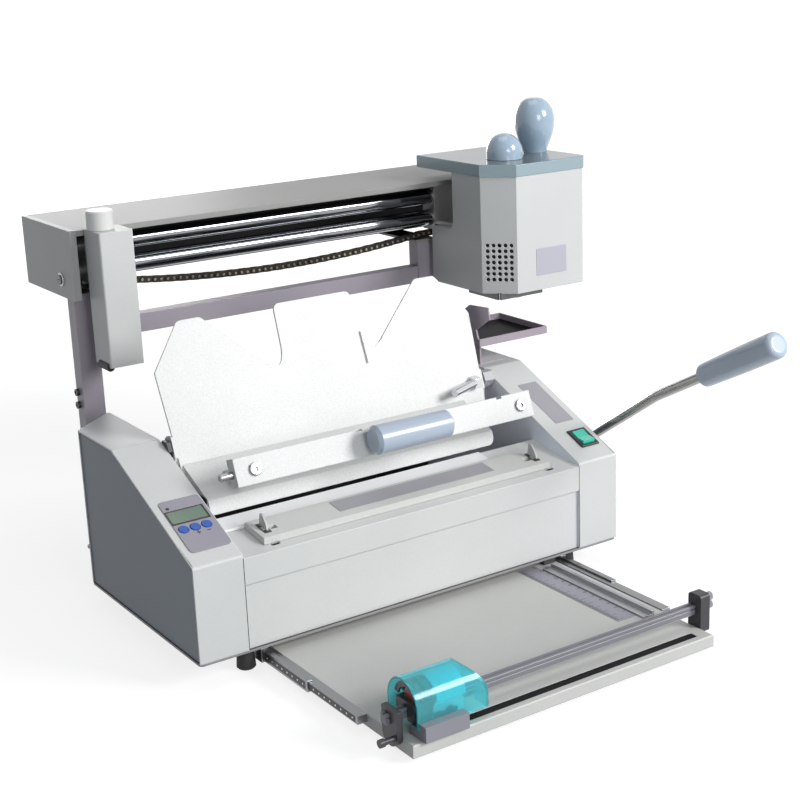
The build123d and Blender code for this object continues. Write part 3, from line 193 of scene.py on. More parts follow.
def lined(look, colour, *tests, lowest=-1.0):
    """Gives a coat a second colour above a height, where a face looks one way and lies past a limit.

    A test is the face's axis and sign, then the place's axis, sign and limit in metres.
    """
    tree = look.node_tree
    coat = tree.nodes["Principled BSDF"].inputs["Base Color"].links[0].from_socket
    place = node(tree, "ShaderNodeTexCoord").outputs
    facing = node(tree, "ShaderNodeSeparateXYZ", {0: place["Normal"]}).outputs
    spot = node(tree, "ShaderNodeSeparateXYZ", {0: place["Object"]}).outputs
    inside = None
    for face_axis, face_sign, spot_axis, spot_sign, limit in tests:
        faces = reckon(tree, "GREATER_THAN" if face_sign > 0 else "LESS_THAN",
                       facing[face_axis], 0.5 * face_sign)
        past = reckon(tree, "GREATER_THAN" if spot_sign > 0 else "LESS_THAN", spot[spot_axis], limit)
        both = reckon(tree, "MULTIPLY", faces, past)
        inside = both if inside is None else reckon(tree, "MAXIMUM", inside, both)
    inside = reckon(tree, "MULTIPLY", reckon(tree, "GREATER_THAN", spot["Z"], lowest), inside)
    choose = node(tree, "ShaderNodeMix", {"Factor": inside, "A": coat, "B": (*colour, 1)}, data_type="RGBA")
    feed(tree, tree.nodes["Principled BSDF"], {"Base Color": choose.outputs["Result"]})


def dress(material, *node_names):
    """Gives CAD nodes their material."""
    for node_name in node_names:
        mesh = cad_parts[node_name].data
        mesh.materials.clear()
        mesh.materials.append(material)


base_coat = painted("base_coat", (0.26, 0.26, 0.26))
# Painted shade: the base plate's upward faces are black, for the dark inside of the machine.
lined(base_coat, (0.05, 0.05, 0.05), ("Z", 1, "Z", 1, 0.0215))
foot_rubber = painted("foot_rubber", (0.018, 0.018, 0.018), rough=0.7, peel=0.0002, tone=0.2)
dress(base_coat, "base_plate")
dress(foot_rubber, "feet")

# Housings: folded sheet steel left and right, light grey powder coat, with a painted pale bluish light on
# the right one's inner wall. The flat side panel of each is painted darker as painted shade and sits just
# inside the rim of the folded hem. The rear panel's inner face is painted black as painted shade.
body_grey = (0.61, 0.622, 0.612)
body_coat = painted("body_coat", body_grey, rough=0.45, speck=0.015, edge=0.0009, edge_highlight=0.6)
# Painted shade: the side panels are the body's grey painted darker.
side_shade_coat = painted("side_shade_coat", (0.185, 0.215, 0.25), rough=0.5, speck=0.02)
rear_coat = painted("rear_coat", body_grey, rough=0.45, speck=0.015)
# Painted shade: the rear panel's inner faces are black.
lined(rear_coat, (0.02, 0.02, 0.02), ("Y", -1, "Y", 1, 0.0))
bay_lit_coat = painted("bay_lit_coat", body_grey, rough=0.45, speck=0.015)
# Painted light: the right housing's inner wall is painted paler and bluish.
lined(bay_lit_coat, (0.80, 0.84, 0.92), ("X", -1, "X", 1, 0.30))
dress(body_coat, "left_housing", "front_panel", "deck")
dress(bay_lit_coat, "right_housing")
dress(rear_coat, "rear_panel")
dress(side_shade_coat, "side_panels")
seam_black = painted("seam_black", (0.03, 0.032, 0.035), rough=0.7)


# Controls: a printed overlay with a liquid crystal window and three blue keys on the left slope,
# and a mains rocker with a green lamp in a snap-in black bezel on the right one.
def moulded(name, colour, rough=0.3, texture=0.00003, tone=0.03, clear=0.0, edge=0.0005):
    """Moulded plastic, which can have a clear gloss over its colour."""
    look = painted(name, colour, rough=rough, peel=texture, tone=tone, edge=edge)
    feed(look.node_tree, look.node_tree.nodes["Principled BSDF"], {
        "Coat Weight": clear, "Coat Roughness": 0.08})
    return look


def piece_from(mesh, name, body, slot, crease=32):
    """Makes a mesh a piece that rides with a body, smooth but for its real edges."""
    mesh.polygons.foreach_set("use_smooth", [True] * len(mesh.polygons))
    mesh.set_sharp_from_angle(angle=math.radians(crease))
    for layer in [a.name for a in mesh.attributes if a.name == "aim"]:
        mesh.attributes.remove(mesh.attributes[layer])
    piece = bpy.data.objects.new(name, mesh)
    bpy.context.collection.objects.link(piece)
    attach(piece, body)


def keep(shape, name, look, body, slot):
    """Makes a finished shape a piece."""
    bmesh.ops.recalc_face_normals(shape, faces=shape.faces)
    mesh = bpy.data.meshes.new(name)
    shape.to_mesh(mesh)
    shape.free()
    mesh.materials.append(look)
    piece_from(mesh, name, body, slot)


def eased(corners, radius, steps=5):
    """Rounds the corners of a flat outline; radius in millimetres."""
    outline = []
    for i, corner in enumerate(corners):
        before = (corners[i - 1] - corner).normalized()
        after = (corners[(i + 1) % len(corners)] - corner).normalized()
        reach = radius / 1000 / math.tan(before.angle(after) / 2)
        start, end = corner + before * reach, corner + after * reach
        for k in range(steps + 1):
            t = k / steps
            outline.append((1 - t) ** 2 * start + 2 * t * (1 - t) * corner + t ** 2 * end)
    return outline


def slab(shape, low, high):
    """Closes two matching outlines into a solid: the underside, the top and the edges."""
    low, high = [shape.verts.new(p) for p in low], [shape.verts.new(p) for p in high]
    shape.faces.new(low[::-1])
    shape.faces.new(high)
    for i in range(len(low)):
        j = (i + 1) % len(low)
        shape.faces.new((low[i], low[j], high[j], high[i]))


def film(name, corners, thickness, look, body, slot, radius=0.0):
    """A flat sheet or bar stuck on a face: its outline, anticlockwise from outside, and its thickness."""
    outline = eased(corners, radius) if radius else corners
    up = (corners[1] - corners[0]).cross(corners[2] - corners[1]).normalized()
    shape = bmesh.new()
    slab(shape, outline, [p + up * thickness / 1000 for p in outline])
    keep(shape, name, look, body, slot)


def turned(name, foot, axis, profile, look, body, slot, turns=32):
    """Spins (along, radius) steps in millimetres about an axis through foot."""
    axis = Vector(axis).normalized()
    side = axis.orthogonal().normalized()
    other = axis.cross(side)
    shape = bmesh.new()
    rings = []
    for along, radius in profile:
        centre = foot + axis * along / 1000
        if radius == 0:
            rings.append([shape.verts.new(centre)])
            continue
        rings.append([shape.verts.new(
            centre + (side * math.cos(a) + other * math.sin(a)) * radius / 1000)
            for a in (2 * math.pi * i / turns for i in range(turns))])
    for low, high in zip(rings, rings[1:]):
        for i in range(turns):
            j = (i + 1) % turns
            corners = [low[i % len(low)], low[j % len(low)], high[j % len(high)], high[i % len(high)]]
            shape.faces.new(list(dict.fromkeys(corners)))
    keep(shape, name, look, body, slot)


def patch(place, left, right, low, high):
    """The corners of a rectangle on a face; place turns two measures on it into a point."""
    return [place(left, low), place(right, low), place(right, high), place(left, high)]


front_face, slope_foot = -150, 102.8
slope_lean = math.atan2(60.2, 140.4)


def slope(x, up, out):
    """A place on the housings' slope: up along it from the front fold, out from its face."""
    return at(x, front_face + up * math.cos(slope_lean) - out * math.sin(slope_lean),
              slope_foot + up * math.sin(slope_lean) + out * math.cos(slope_lean))


def slope_patch(left, right, low, high, out):
    """A rectangle on the housings' slope, out from its face."""
    return patch(lambda x, up: slope(x, up, out), left, right, low, high)


# Seams: the dark gap round each side panel, and where a housing meets the front panel
panel_edge = [(-148.2, 22.6), (-148.2, 103.9), (-9.9, 161.2), (60.9, 161.2)]
panel_face, panel_seam_top, panel_seam_width = 212.45, 212.62, 0.0010
front_seam_x, front_seam_half = 170, 0.3
for side_name, sign in (("left", -1), ("right", 1)):
    shape = bmesh.new()
    for (y_low, z_low), (y_high, z_high) in zip(panel_edge, panel_edge[1:]):
        run = Vector((0, y_high - y_low, z_high - z_low)).normalized()
        inward = Vector((0, run.z, -run.y)) * panel_seam_width
        outlines = []
        for out in (panel_face, panel_seam_top):
            start, end = at(sign * out, y_low, z_low), at(sign * out, y_high, z_high)
            outlines.append((start, end, end + inward, start + inward))
        slab(shape, *outlines)
    keep(shape, "panel_seam_" + side_name, seam_black, "machine_base", "side_paint")
    film("front_seam_" + side_name,
         patch(lambda x, z: at(x, front_face, z), sign * front_seam_x - front_seam_half,
               sign * front_seam_x + front_seam_half, 22.4, 100.0),
         0.08, seam_black, "machine_base", "side_paint")

overlay_film = moulded("overlay_film", (0.30, 0.29, 0.335), rough=0.5)
key_blue = moulded("key_blue", (0.003, 0.075, 0.40), rough=0.4, clear=0.1)
black_moulding = moulded("black_moulding", (0.012, 0.012, 0.013), rough=0.4, texture=0.0001)
lcd_glass = moulded("lcd_glass", (0.060, 0.135, 0.075), rough=0.15, clear=0.8)
circuit_green = moulded("circuit_green", (0.01, 0.09, 0.03), rough=0.4)
rocker_green = moulded("rocker_green", (0.0, 0.42, 0.30), rough=0.12, clear=0.6)
feed(rocker_green.node_tree, rocker_green.node_tree.nodes["Principled BSDF"], {
    "Emission Color": (0.0, 0.55, 0.40, 1), "Emission Strength": 0.25})
plain_label = moulded("plain_label", (0.33, 0.325, 0.355), rough=0.35, clear=0.2, tone=0.05)
dress(overlay_film, "control_plate")
dress(key_blue, "set_button", "up_button", "down_button")
dress(black_moulding, "switch_bezel", "power_inlet")
dress(lcd_glass, "display")
dress(circuit_green, "control_board")
dress(rocker_green, "power_rocker")
overlay_face = 0.78
for side_name, sides in (
        ("lower", (-206.6, -173.4, 48.9, 50.75)), ("upper", (-206.6, -173.4, 64.45, 65.6)),
        ("left", (-206.8, -205.6, 48.9, 65.6)), ("right", (-174.5, -173.2, 48.9, 65.6))):
    film("display_rim_" + side_name, slope_patch(*sides, overlay_face),
         0.12, black_moulding, "machine_base", "black_plastic")
turned("signal_lamp", slope(-202.2, 68.8, 0.75), slope(0, 0, 1) - slope(0, 0, 0),
       [(0, 0), (0, 1.5), (0.35, 1.4), (0.6, 0.9), (0.7, 0)],
       black_moulding, "machine_base", "black_plastic", turns=16)
plus_bar, plus_post = (-192.3, -188.7, 35.4, 36.1), (-190.9, -190.1, 33.9, 37.6)
minus_bar = (-183.4, -179.8, 35.4, 36.1)
for index, sides in enumerate((plus_bar, plus_post, minus_bar)):
    film("key_sign_%d" % (index + 1), slope_patch(*sides, overlay_face),
         0.1, black_moulding, "machine_base", "black_plastic")
film("right_label", slope_patch(185.5, 206.8, 56.0, 118.0, 0.0),
     0.3, plain_label, "machine_base", "overlay", radius=0.8)

# Nipping table: a steel bar and a jaw, painted white, that close on the glued spine. A plain label plate is
# stuck on the bar, and each end has a grey stop in a slot, whose dark opening is a black patch of painted
# shade.
hammered_white = {"rough": 0.4, "peel": 0.00012, "tone": 0.05, "speck": 0.05}
white_coat = painted("white_coat", (0.67, 0.68, 0.67), **hammered_white)
board_coat = painted("board_coat", (0.60, 0.61, 0.585), rough=0.45, peel=0.00008, tone=0.03, speck=0.02)
jaw_coat = painted("jaw_coat", (0.84, 0.85, 0.85), rough=0.3, tone=0.02)
stop_coat = painted("stop_coat", (0.50, 0.505, 0.50), rough=0.35, tone=0.04)
dress(stop_coat, "left_stop", "right_stop")
dress(board_coat, "nip_bar")
dress(jaw_coat, "nip_jaw")
dress(white_coat, "clamp_plate", "rear_jaw", "clamp_bar")
deck_lean = math.radians(8)
deck_front, bar_top = 99.8, 5.95


def deck_patch(left, right, low, high, out):
    """A rectangle over the sloping deck, out from its face."""
    return patch(lambda x, y: at(
        x, y, deck_front + (y - front_face) * math.tan(deck_lean) + out / math.cos(deck_lean)),
        left, right, low, high)


film("bar_label", deck_patch(-68, 90.5, -129.5, -111.2, bar_top),
     0.35, plain_label, "machine_base", "overlay", radius=0.8)
slot_shade = moulded("slot_shade", (0.05, 0.05, 0.05), rough=0.6)
# Painted shade: a black patch on the bar round each stop.
for side_name, x in (("left", -137.0), ("right", 137.0)):
    film("stop_slot_" + side_name, deck_patch(x - 3.4, x + 3.4, -132.5, -115.5, bar_top),
         0.12, slot_shade, "machine_base", "black_plastic", radius=1.5)


def metal(name, colour, rough, streak=(1, 1, 1), grain_scale=500.0, depth=0.00002, tone=0.08, edge=0.0004):
    """Bare metal: its grain, drawn out along the way it was rolled or ground, sets tone and polish."""
    look = bpy.data.materials.new(name)
    look.use_nodes = True
    tree = look.node_tree
    place = node(tree, "ShaderNodeTexCoord").outputs["Object"]
    stretch = node(tree, "ShaderNodeMapping", {"Vector": place, "Scale": streak})
    grain = node(tree, "ShaderNodeTexNoise", {
        "Vector": stretch.outputs["Vector"], "Scale": grain_scale, "Detail": 3.0}).outputs["Fac"]
    shade = node(tree, "ShaderNodeMapRange", {
        "Value": grain, "To Min": 1.0 - tone, "To Max": 1.0 + tone * 0.4})
    tint = node(tree, "ShaderNodeVectorMath", {
        0: colour, "Scale": shade.outputs["Result"]}, operation="SCALE")
    polish = node(tree, "ShaderNodeMapRange", {
        "Value": grain, "To Min": rough * 0.75, "To Max": rough * 1.3})
    round_edge = node(tree, "ShaderNodeBevel", {"Radius": edge}, samples=4)
    return finished(look, tint.outputs["Vector"], grain, round_edge.outputs["Normal"], 0.3, depth,
                    {"Roughness": polish.outputs["Result"], "Metallic": 1.0})


along_x = {"streak": (0.02, 1, 1), "grain_scale": 900.0, "tone": 0.04}
zinc_plate = metal("zinc_plate", (0.42, 0.43, 0.45), 0.35)
polished_steel = metal("polished_steel", (0.72, 0.73, 0.75), 0.07, **along_x)
lever_steel = metal("lever_steel", (0.36, 0.355, 0.34), 0.22, streak=(1, 0.03, 0.03), grain_scale=900.0)
rod_steel = metal("rod_steel", (0.27, 0.28, 0.30), 0.10, depth=0.000002, **along_x)
screw_steel = metal("screw_steel", (0.33, 0.33, 0.34), 0.22)
dress(zinc_plate, "nip_shaft")
dress(screw_steel, "guide_pins")
dress(rod_steel, "guide_rods")
dress(polished_steel, "lock_rod", "notch_cutter", "cutter_wheel")
dress(lever_steel, "nip_lever")


# Screws: turned steel socket cap heads, each a short cylinder with a hexagon sunk into it. They
# hold the sheet parts of the frame and the rear panel.
def grown(name, holder_mesh, recipe, sizes):
    """Runs a geometry recipe on a mesh and returns the result as a plain mesh."""
    holder = bpy.data.objects.new(name + "_places", holder_mesh)
    bpy.context.collection.objects.link(holder)
    modifier = holder.modifiers.new("recipe", "NODES")
    modifier.node_group = recipe
    for item in recipe.interface.items_tree:
        if item.item_type == "SOCKET" and item.in_out == "INPUT" and item.name in sizes:
            modifier[item.identifier] = sizes[item.name]
    bpy.context.view_layer.update()
    ready = holder.evaluated_get(bpy.context.evaluated_depsgraph_get())
    mesh = bpy.data.meshes.new_from_object(ready)
    mesh.name = name
    bpy.data.objects.remove(holder)
    return mesh


def recipe_with(name, *sizes):
    """An empty geometry recipe with named sizes in metres, and a finish."""
    recipe = bpy.data.node_groups.new(name, "GeometryNodeTree")
    recipe.interface.new_socket("Geometry", in_out="INPUT", socket_type="NodeSocketGeometry")
    for size in sizes:
        kind = "NodeSocketInt" if size.endswith("Count") else "NodeSocketFloat"
        recipe.interface.new_socket(size, in_out="INPUT", socket_type=kind)
    recipe.interface.new_socket("Finish", in_out="INPUT", socket_type="NodeSocketMaterial")
    recipe.interface.new_socket("Geometry", in_out="OUTPUT", socket_type="NodeSocketGeometry")
    return recipe, recipe.nodes.new("NodeGroupInput").outputs


def close_recipe(recipe, given, instances):
    """Makes the copies real, gives them the finish and hands them out."""
    real = node(recipe, "GeometryNodeRealizeInstances", {"Geometry": instances})
    finish = node(recipe, "GeometryNodeSetMaterial", {
        "Geometry": real.outputs["Geometry"], "Material": given["Finish"]})
    node(recipe, "NodeGroupOutput", {"Geometry": finish.outputs["Geometry"]})


def raised_by(recipe, geometry, height, share):
    """Lifts a shape by a share of a height."""
    lift = node(recipe, "ShaderNodeCombineXYZ", {"Z": reckon(recipe, "MULTIPLY", height, share)})
    return node(recipe, "GeometryNodeTransform", {
        "Geometry": geometry, "Translation": lift.outputs[0]}).outputs["Geometry"]


def aimed(recipe, points, shape):
    """Sets a shape on every point, turned the way the point's own arrow shows."""
    arrow = node(recipe, "GeometryNodeInputNamedAttribute", {"Name": "aim"}, data_type="FLOAT_VECTOR")
    turn_to = node(recipe, "FunctionNodeAlignRotationToVector", {
        "Vector": arrow.outputs["Attribute"]}, axis="Z")
    return node(recipe, "GeometryNodeInstanceOnPoints", {
        "Points": points, "Instance": shape, "Rotation": turn_to.outputs["Rotation"]}).outputs["Instances"]


screw_recipe, given = recipe_with("socket_screws", "Head Radius", "Head Height", "Socket Radius")
head = node(screw_recipe, "GeometryNodeMeshCylinder", {
    "Vertices": 20, "Radius": given["Head Radius"], "Depth": given["Head Height"]})
hexagon = node(screw_recipe, "GeometryNodeMeshCylinder", {
    "Vertices": 6, "Radius": given["Socket Radius"], "Depth": given["Head Height"]})
cut = node(screw_recipe, "GeometryNodeMeshBoolean", {
    "Mesh 1": raised_by(screw_recipe, head.outputs["Mesh"], given["Head Height"], 0.5),
    "Mesh 2": raised_by(screw_recipe, hexagon.outputs["Mesh"], given["Head Height"], 0.9)},
    operation="DIFFERENCE")
close_recipe(screw_recipe, given, aimed(screw_recipe, given["Geometry"], cut.outputs["Mesh"]))


def places(name, spots):
    """Points with an arrow each: the place of a fastener and the way it faces."""
    mesh = bpy.data.meshes.new(name)
    mesh.from_pydata([tuple(spot) for spot, way in spots], [], [])
    aim = mesh.attributes.new("aim", "FLOAT_VECTOR", "POINT")
    for index, (spot, way) in enumerate(spots):
        aim.data[index].vector = Vector(way).normalized()
    return mesh


def screws(name, spots, radius, height, socket, look, body, slot):
    """Screw heads at some spots, as one piece; sizes in millimetres."""
    sizes = {"Head Radius": radius / 1000, "Head Height": height / 1000,
             "Socket Radius": socket / 1000, "Finish": look}
    piece_from(grown(name, places(name, spots), screw_recipe, sizes), name, body, slot)


dark_steel = metal("dark_steel", (0.09, 0.09, 0.095), 0.35)
left_way, right_way, front_way, back_way = (-1, 0, 0), (1, 0, 0), (0, -1, 0), (0, 1, 0)

# Clamp: the leaning plate, its jaw and the bar are folded steel with a hammered white coat. The bar hangs on
# two screws, and a black film covers the left end of the jaw.
jaw_end_outline = ((-46, 114.0), (-72, 114.0), (-72, 125.5), (-33, 125.5))
film("jaw_end_film", [at(-160.25, y, z) for y, z in jaw_end_outline],
     0.3, black_moulding, "clamp", "black_plastic", radius=1.0)
pivot_black = moulded("pivot_black", (0.014, 0.014, 0.015), rough=0.4)
every_way = [(axis, sign) for axis in "XYZ" for sign in (-1, 1)]
lined(pivot_black, (0.36, 0.37, 0.39), *[(*way, "X", 1, middle_x) for way in every_way])
dress(pivot_black, "pivot_pins")
clamp_lean = math.radians(20)


def clamp_point(x, up, out):
    """A place on the leaning clamp: up along the plate, out from its face towards the operator."""
    return at(x, -28 + up * math.sin(clamp_lean) - out * math.cos(clamp_lean),
              150 + up * math.cos(clamp_lean) + out * math.sin(clamp_lean))


# The two finger cut-outs end in wide curves, with the sheet's folded web closing each corner
web_coat = painted("web_coat", (0.67, 0.68, 0.67), edge=0.00001, edge_highlight=0.0, **hammered_white)
cut_out_shift, cut_out_radius, web_steps = 4, 13.0, 14
for side_name, sign in (("left", -1), ("right", 1)):
    corner, reach = Vector((sign * 41.2 - cut_out_shift, 45.0)), []
    for foot_x in (39.3, 110.5):
        reach.append((Vector((sign * foot_x - cut_out_shift, 113.0)) - corner).normalized())
    length = cut_out_radius / math.tan(reach[0].angle(reach[1]) / 2)
    start, end = corner + reach[0] * length, corner + reach[1] * length
    bend = corner.lerp((start + end) / 2, 0.12)
    outline = [start, corner, end]
    for k in range(1, web_steps):
        t = k / web_steps
        outline.append((1 - t) ** 2 * end + 2 * t * (1 - t) * bend + t ** 2 * start)
    outline = outline[::-1] if sign > 0 else outline
    film("valley_web_" + side_name, [clamp_point(p.x, p.y, 0.02) for p in outline],
         2.04, web_coat, "clamp", "white_paint")

turned("bar_pin_sleeve", clamp_point(-159.1, -24.2, 63.5), right_way,
       [(0, 0), (0, 2.2), (0.8, 3.4), (12.0, 3.4), (12.0, 0)],
       screw_steel, "pressing_bar", "steel", turns=24)

# Lever grip, clamp bar grip, head lid and knobs: glossy blue-grey moulded plastic. The lid's top is painted
# darker than its rim, as a painted reflection.
grip_blue = moulded("grip_blue", (0.40, 0.47, 0.57), rough=0.3, clear=0.35)
knob_blue = moulded("knob_blue", (0.34, 0.45, 0.56), rough=0.2, clear=0.6)
lid_blue = moulded("lid_blue", (0.29, 0.385, 0.43), rough=0.25, clear=0.4)
# Painted reflection: the lid's upward faces are darker.
lined(lid_blue, (0.13, 0.165, 0.18), ("Z", 1, "Z", 1, 0.340))
dress(grip_blue, "lever_grip", "bar_grip")
dress(knob_blue, "bulb_handle", "dome_knob")
dress(lid_blue, "head_lid")

# Rear frame: welded square tube in lilac-grey paint, under a folded grey beam cover whose inside is painted
# black as painted shade, closed by a plate at each end whose inner face is painted black the same way.
# Socket screws hold it together.
lilac_coat = painted("lilac_coat", (0.36, 0.325, 0.375), rough=0.4)
beam_coat = painted("beam_coat", (0.30, 0.305, 0.29), rough=0.45, speck=0.02)
end_coat = painted("end_coat", (0.36, 0.37, 0.365), rough=0.4, speck=0.02)
beam_inside_shade, beam_middle, beam_wall = (0.012, 0.012, 0.013), 0.300, middle_y + 0.200
# Painted shade: the beam cover's inner faces and the end plates' inner faces are black.
lined(beam_coat, beam_inside_shade, ("Z", -1, "Z", 1, beam_middle), ("Y", -1, "Y", 1, beam_wall),
      ("Z", 1, "Z", -1, beam_middle))
lined(end_coat, beam_inside_shade, ("X", 1, "X", -1, middle_x), ("X", -1, "X", 1, middle_x))
dress(lilac_coat, "posts", "cross_bar")
dress(beam_coat, "beam_cover")
dress(end_coat, "beam_ends")
frame_depth, post_screw_heights = 145, (172, 160)
turned("end_washer", at(-182.6, frame_depth, 278), left_way,
       [(0, 0), (0, 6.4), (0.8, 6.4), (1.0, 6.0), (1.0, 0)], zinc_plate, "machine_base", "zinc")
screws("end_plate_screw", [(at(-183.6, frame_depth, 278), left_way)],
       4.4, 1.1, 2.2, dark_steel, "machine_base", "steel")
screws("post_screws", [(at(x, frame_depth, z), way) for x, way in ((-177.0, left_way), (215.0, right_way))
                       for z in post_screw_heights],
       3.4, 3.0, 1.7, dark_steel, "machine_base", "steel")

# Chain: riveted roller chain, dark with old oil, with the bright heads of its rivets along it. It
# hangs under the beam from an eye bolt in the left end plate, lowest near its middle.
chain_steel = metal("chain_steel", (0.045, 0.04, 0.034), 0.38, grain_scale=300.0)
dress(chain_steel, "drive_chain")
rivet_recipe, given = recipe_with("rivets_on_a_line", "Pitch", "Rivet Radius", "Rivet Height")
line = node(rivet_recipe, "GeometryNodeMeshToCurve", {"Mesh": given["Geometry"]})
spaced = node(rivet_recipe, "GeometryNodeResampleCurve", {
    "Curve": line.outputs["Curve"], "Length": given["Pitch"]}, mode="LENGTH")
rivet = node(rivet_recipe, "GeometryNodeMeshCylinder", {
    "Vertices": 8, "Radius": given["Rivet Radius"], "Depth": given["Rivet Height"]})
facing_front = node(rivet_recipe, "FunctionNodeAlignRotationToVector", {"Vector": front_way}, axis="Z")
on_line = node(rivet_recipe, "GeometryNodeInstanceOnPoints", {
    "Points": spaced.outputs["Curve"], "Instance": rivet.outputs["Mesh"],
    "Rotation": facing_front.outputs["Rotation"]})
close_recipe(rivet_recipe, given, on_line.outputs["Instances"])
pitch, chain_sag, chain_line = 6.35, 10.2, []
x = -120.0
while x < 300.5:
    lift = min(chain_sag * ((x - 35.0) / 160.0) ** 2, chain_sag)
    chain_line.append(at(x, 128.5 - 2.9, 261.6 + lift))
    x += pitch
chain_path = bpy.data.meshes.new("chain_path")
chain_path.from_pydata([tuple(p) for p in chain_line],
                       [(i, i + 1) for i in range(len(chain_line) - 1)], [])
bright_rivet = metal("bright_rivet", (0.26, 0.24, 0.20), 0.25)
rivet_sizes = {"Pitch": pitch / 1000, "Rivet Radius": 0.0014, "Rivet Height": 0.0012, "Finish": bright_rivet}
piece_from(grown("chain_rivets", chain_path, rivet_recipe, rivet_sizes),
           "chain_rivets", "machine_base", "chain_steel")

screws("rear_panel_screws", [(at(x, 93.5, z), back_way) for x in (-162, 0, 162) for z in (27, 117)],
       2.6, 1.2, 1.3, screw_steel, "machine_base", "steel")

# Glue head: a folded box in the body colour on machined bearings, with a black sheet of painted shade behind
# its vent holes, a bare label on its front and the roller's guard below it.
cast_alu = metal("cast_alu", (0.50, 0.49, 0.48), 0.5, grain_scale=250.0, depth=0.0001)
dress(body_coat, "head_housing", "notcher_housing")
dress(cast_alu, "head_bearings", "notcher_bearing", "glue_tank")
dress(zinc_plate, "glue_roller")
head_label = moulded("head_label", (0.46, 0.455, 0.52), rough=0.35, clear=0.2, tone=0.03)
head_front = 14.5
film("head_label", patch(lambda x, z: at(x, head_front, z), 254.8, 292.4, 236.6, 263.5),
     0.3, head_label, "glue_head", "overlay", radius=1.0)
corner_low, corner_high = Vector((207.0, 40.2)), Vector((231.5, head_front))
along = (corner_high - corner_low).normalized()
inward = Vector((-along.y, along.x))
vents_low, vents_high = 232.0, 274.0


def behind_vents(near, far, depth):
    """A strip behind the chamfer's vent holes, between two steps along it."""
    def place(step, z):
        spot = corner_low + along * step + inward * depth
        return at(spot.x, spot.y, z)
    return patch(place, near, far, vents_low, vents_high)


vent_shade_black = moulded("vent_shade_black", (0.006, 0.006, 0.007), rough=0.8)
# Painted shade: a black sheet behind the vent holes.
film("vent_shade_sheet", behind_vents(4.0, 31.5, 1.9), 0.3, vent_shade_black, "glue_head", "black_plastic")
stay_grey = painted("stay_grey", (0.10, 0.10, 0.10), rough=0.6, tone=0.3, speck=0.1)
film("vent_stay", behind_vents(15.3, 20.2, 1.8), 0.2, stay_grey, "glue_head", "zinc")
guard_iron = metal("guard_iron", (0.13, 0.13, 0.135), 0.4, grain_scale=250.0)
guard_low, guard_high = 215.6, 222.6
guard_sides = [(name, patch(lambda x, z: at(x, y, z), 219, 271, guard_low, guard_high))
               for name, y in (("front", 28), ("back", 79))]
guard_sides += [(name, patch(lambda y, z: at(x, y, z), 77, 28.5, guard_low, guard_high))
                for name, x in (("left", 219), ("right", 269))]
for side_name, corners in guard_sides:
    film("roller_guard_" + side_name, corners, 2.0, guard_iron, "glue_head", "tank_alu")

# Drip pan: folded lilac steel with a raised shield, black on its upward faces inside. It stands on the right
# housing by a foot in the body's colour.
pan_coat = painted("pan_coat", (0.40, 0.35, 0.40), rough=0.35)
pan_foot, pan_rim = 0.175, 0.1895
lined(pan_coat, (0.012, 0.011, 0.012), ("Z", 1, "Z", -1, pan_rim), lowest=pan_foot)
lined(pan_coat, (0.62, 0.63, 0.625), ("Z", 1, "Z", -1, pan_foot))
feed(pan_coat.node_tree, pan_coat.node_tree.nodes["Principled BSDF"], {"Specular IOR Level": 0.03})
dress(pan_coat, "drip_pan")

# Notching column: a folded box on its own bearing, turned by a white knob, with a rubber stub at
# its foot and the cutter under it.
knob_white = moulded("knob_white", (0.70, 0.71, 0.69), rough=0.35, clear=0.2)
dress(knob_white, "notcher_knob")
turned("knob_dimple", at(-159, 101, 343.0), (0, 0, 1),
       [(-0.6, 0), (-0.6, 7.4), (-0.3, 7.8), (0.0, 7.9), (0.05, 7.2), (-0.25, 6.6), (-0.3, 0)],
       knob_white, "notcher_dial", "knob_white")
soft_rubber = painted("soft_rubber", (0.015, 0.015, 0.017), rough=0.6, peel=0.0001, tone=0.2)
turned("column_stub", at(-168.6, 83.0, 206.4), back_way,
       [(0, 0), (0, 3.2), (0.8, 4.0), (20.5, 4.0), (21.5, 3.0), (21.5, 0)],
       soft_rubber, "notcher", "rubber", turns=20)

# Trimmer table: a painted board on telescopic slides. A printed rule lies beside the fence and a
# black cutting strip fills the groove under the wheel.
rail_satin = painted("rail_satin", (0.20, 0.20, 0.225), rough=0.38, tone=0.06, edge=0.00015, edge_highlight=0.3)
rail_highlight_metal = metal("rail_highlight_metal", (0.62, 0.62, 0.64), 0.3, streak=(0.03, 1, 1), grain_scale=700.0)
fence_alu = metal("fence_alu", (0.40, 0.41, 0.43), 0.32, streak=(1, 0.03, 1), grain_scale=700.0)
tray_coat = painted("tray_coat", (0.53, 0.535, 0.515), rough=0.42, peel=0.00008, tone=0.04, speck=0.02)
dress(tray_coat, "tray_board")
dress(fence_alu, "tray_fence")
dress(rail_satin, "cutter_rail")
rail_front = -323.5
# Painted highlights: three thin bright metal strips along the rail's front edges.
for index, (low_z, high_z) in enumerate(((24.1, 24.5), (28.2, 28.75), (31.5, 32.0))):
    film("rail_edge_%d" % (index + 1),
         patch(lambda x, z: at(x, rail_front, z), -146, 146, low_z, high_z),
         0.03, rail_highlight_metal, "tray", "alu")
slide_zinc = metal("slide_zinc", (0.30, 0.305, 0.315), 0.3, streak=(1, 0.03, 1), grain_scale=600.0)
dress(slide_zinc, "slide_outers", "slide_middles", "slide_inners")
cutting_strip = moulded("cutting_strip", (0.008, 0.008, 0.009), rough=0.6)
feed(cutting_strip.node_tree, cutting_strip.node_tree.nodes["Principled BSDF"], {"Specular IOR Level": 0.1})
film("cutting_strip", patch(lambda x, y: at(x, y, 13.05), -129.6, 133.6, -338.8, -331.2),
     0.8, cutting_strip, "tray", "black_plastic", radius=2.0)
rule_grey = moulded("rule_grey", (0.30, 0.30, 0.34), rough=0.4, tone=0.06)
film("printed_rule", patch(lambda x, y: at(x, y, 14.0), 103, 122.4, -279, -143),
     0.25, rule_grey, "tray", "overlay", radius=0.6)

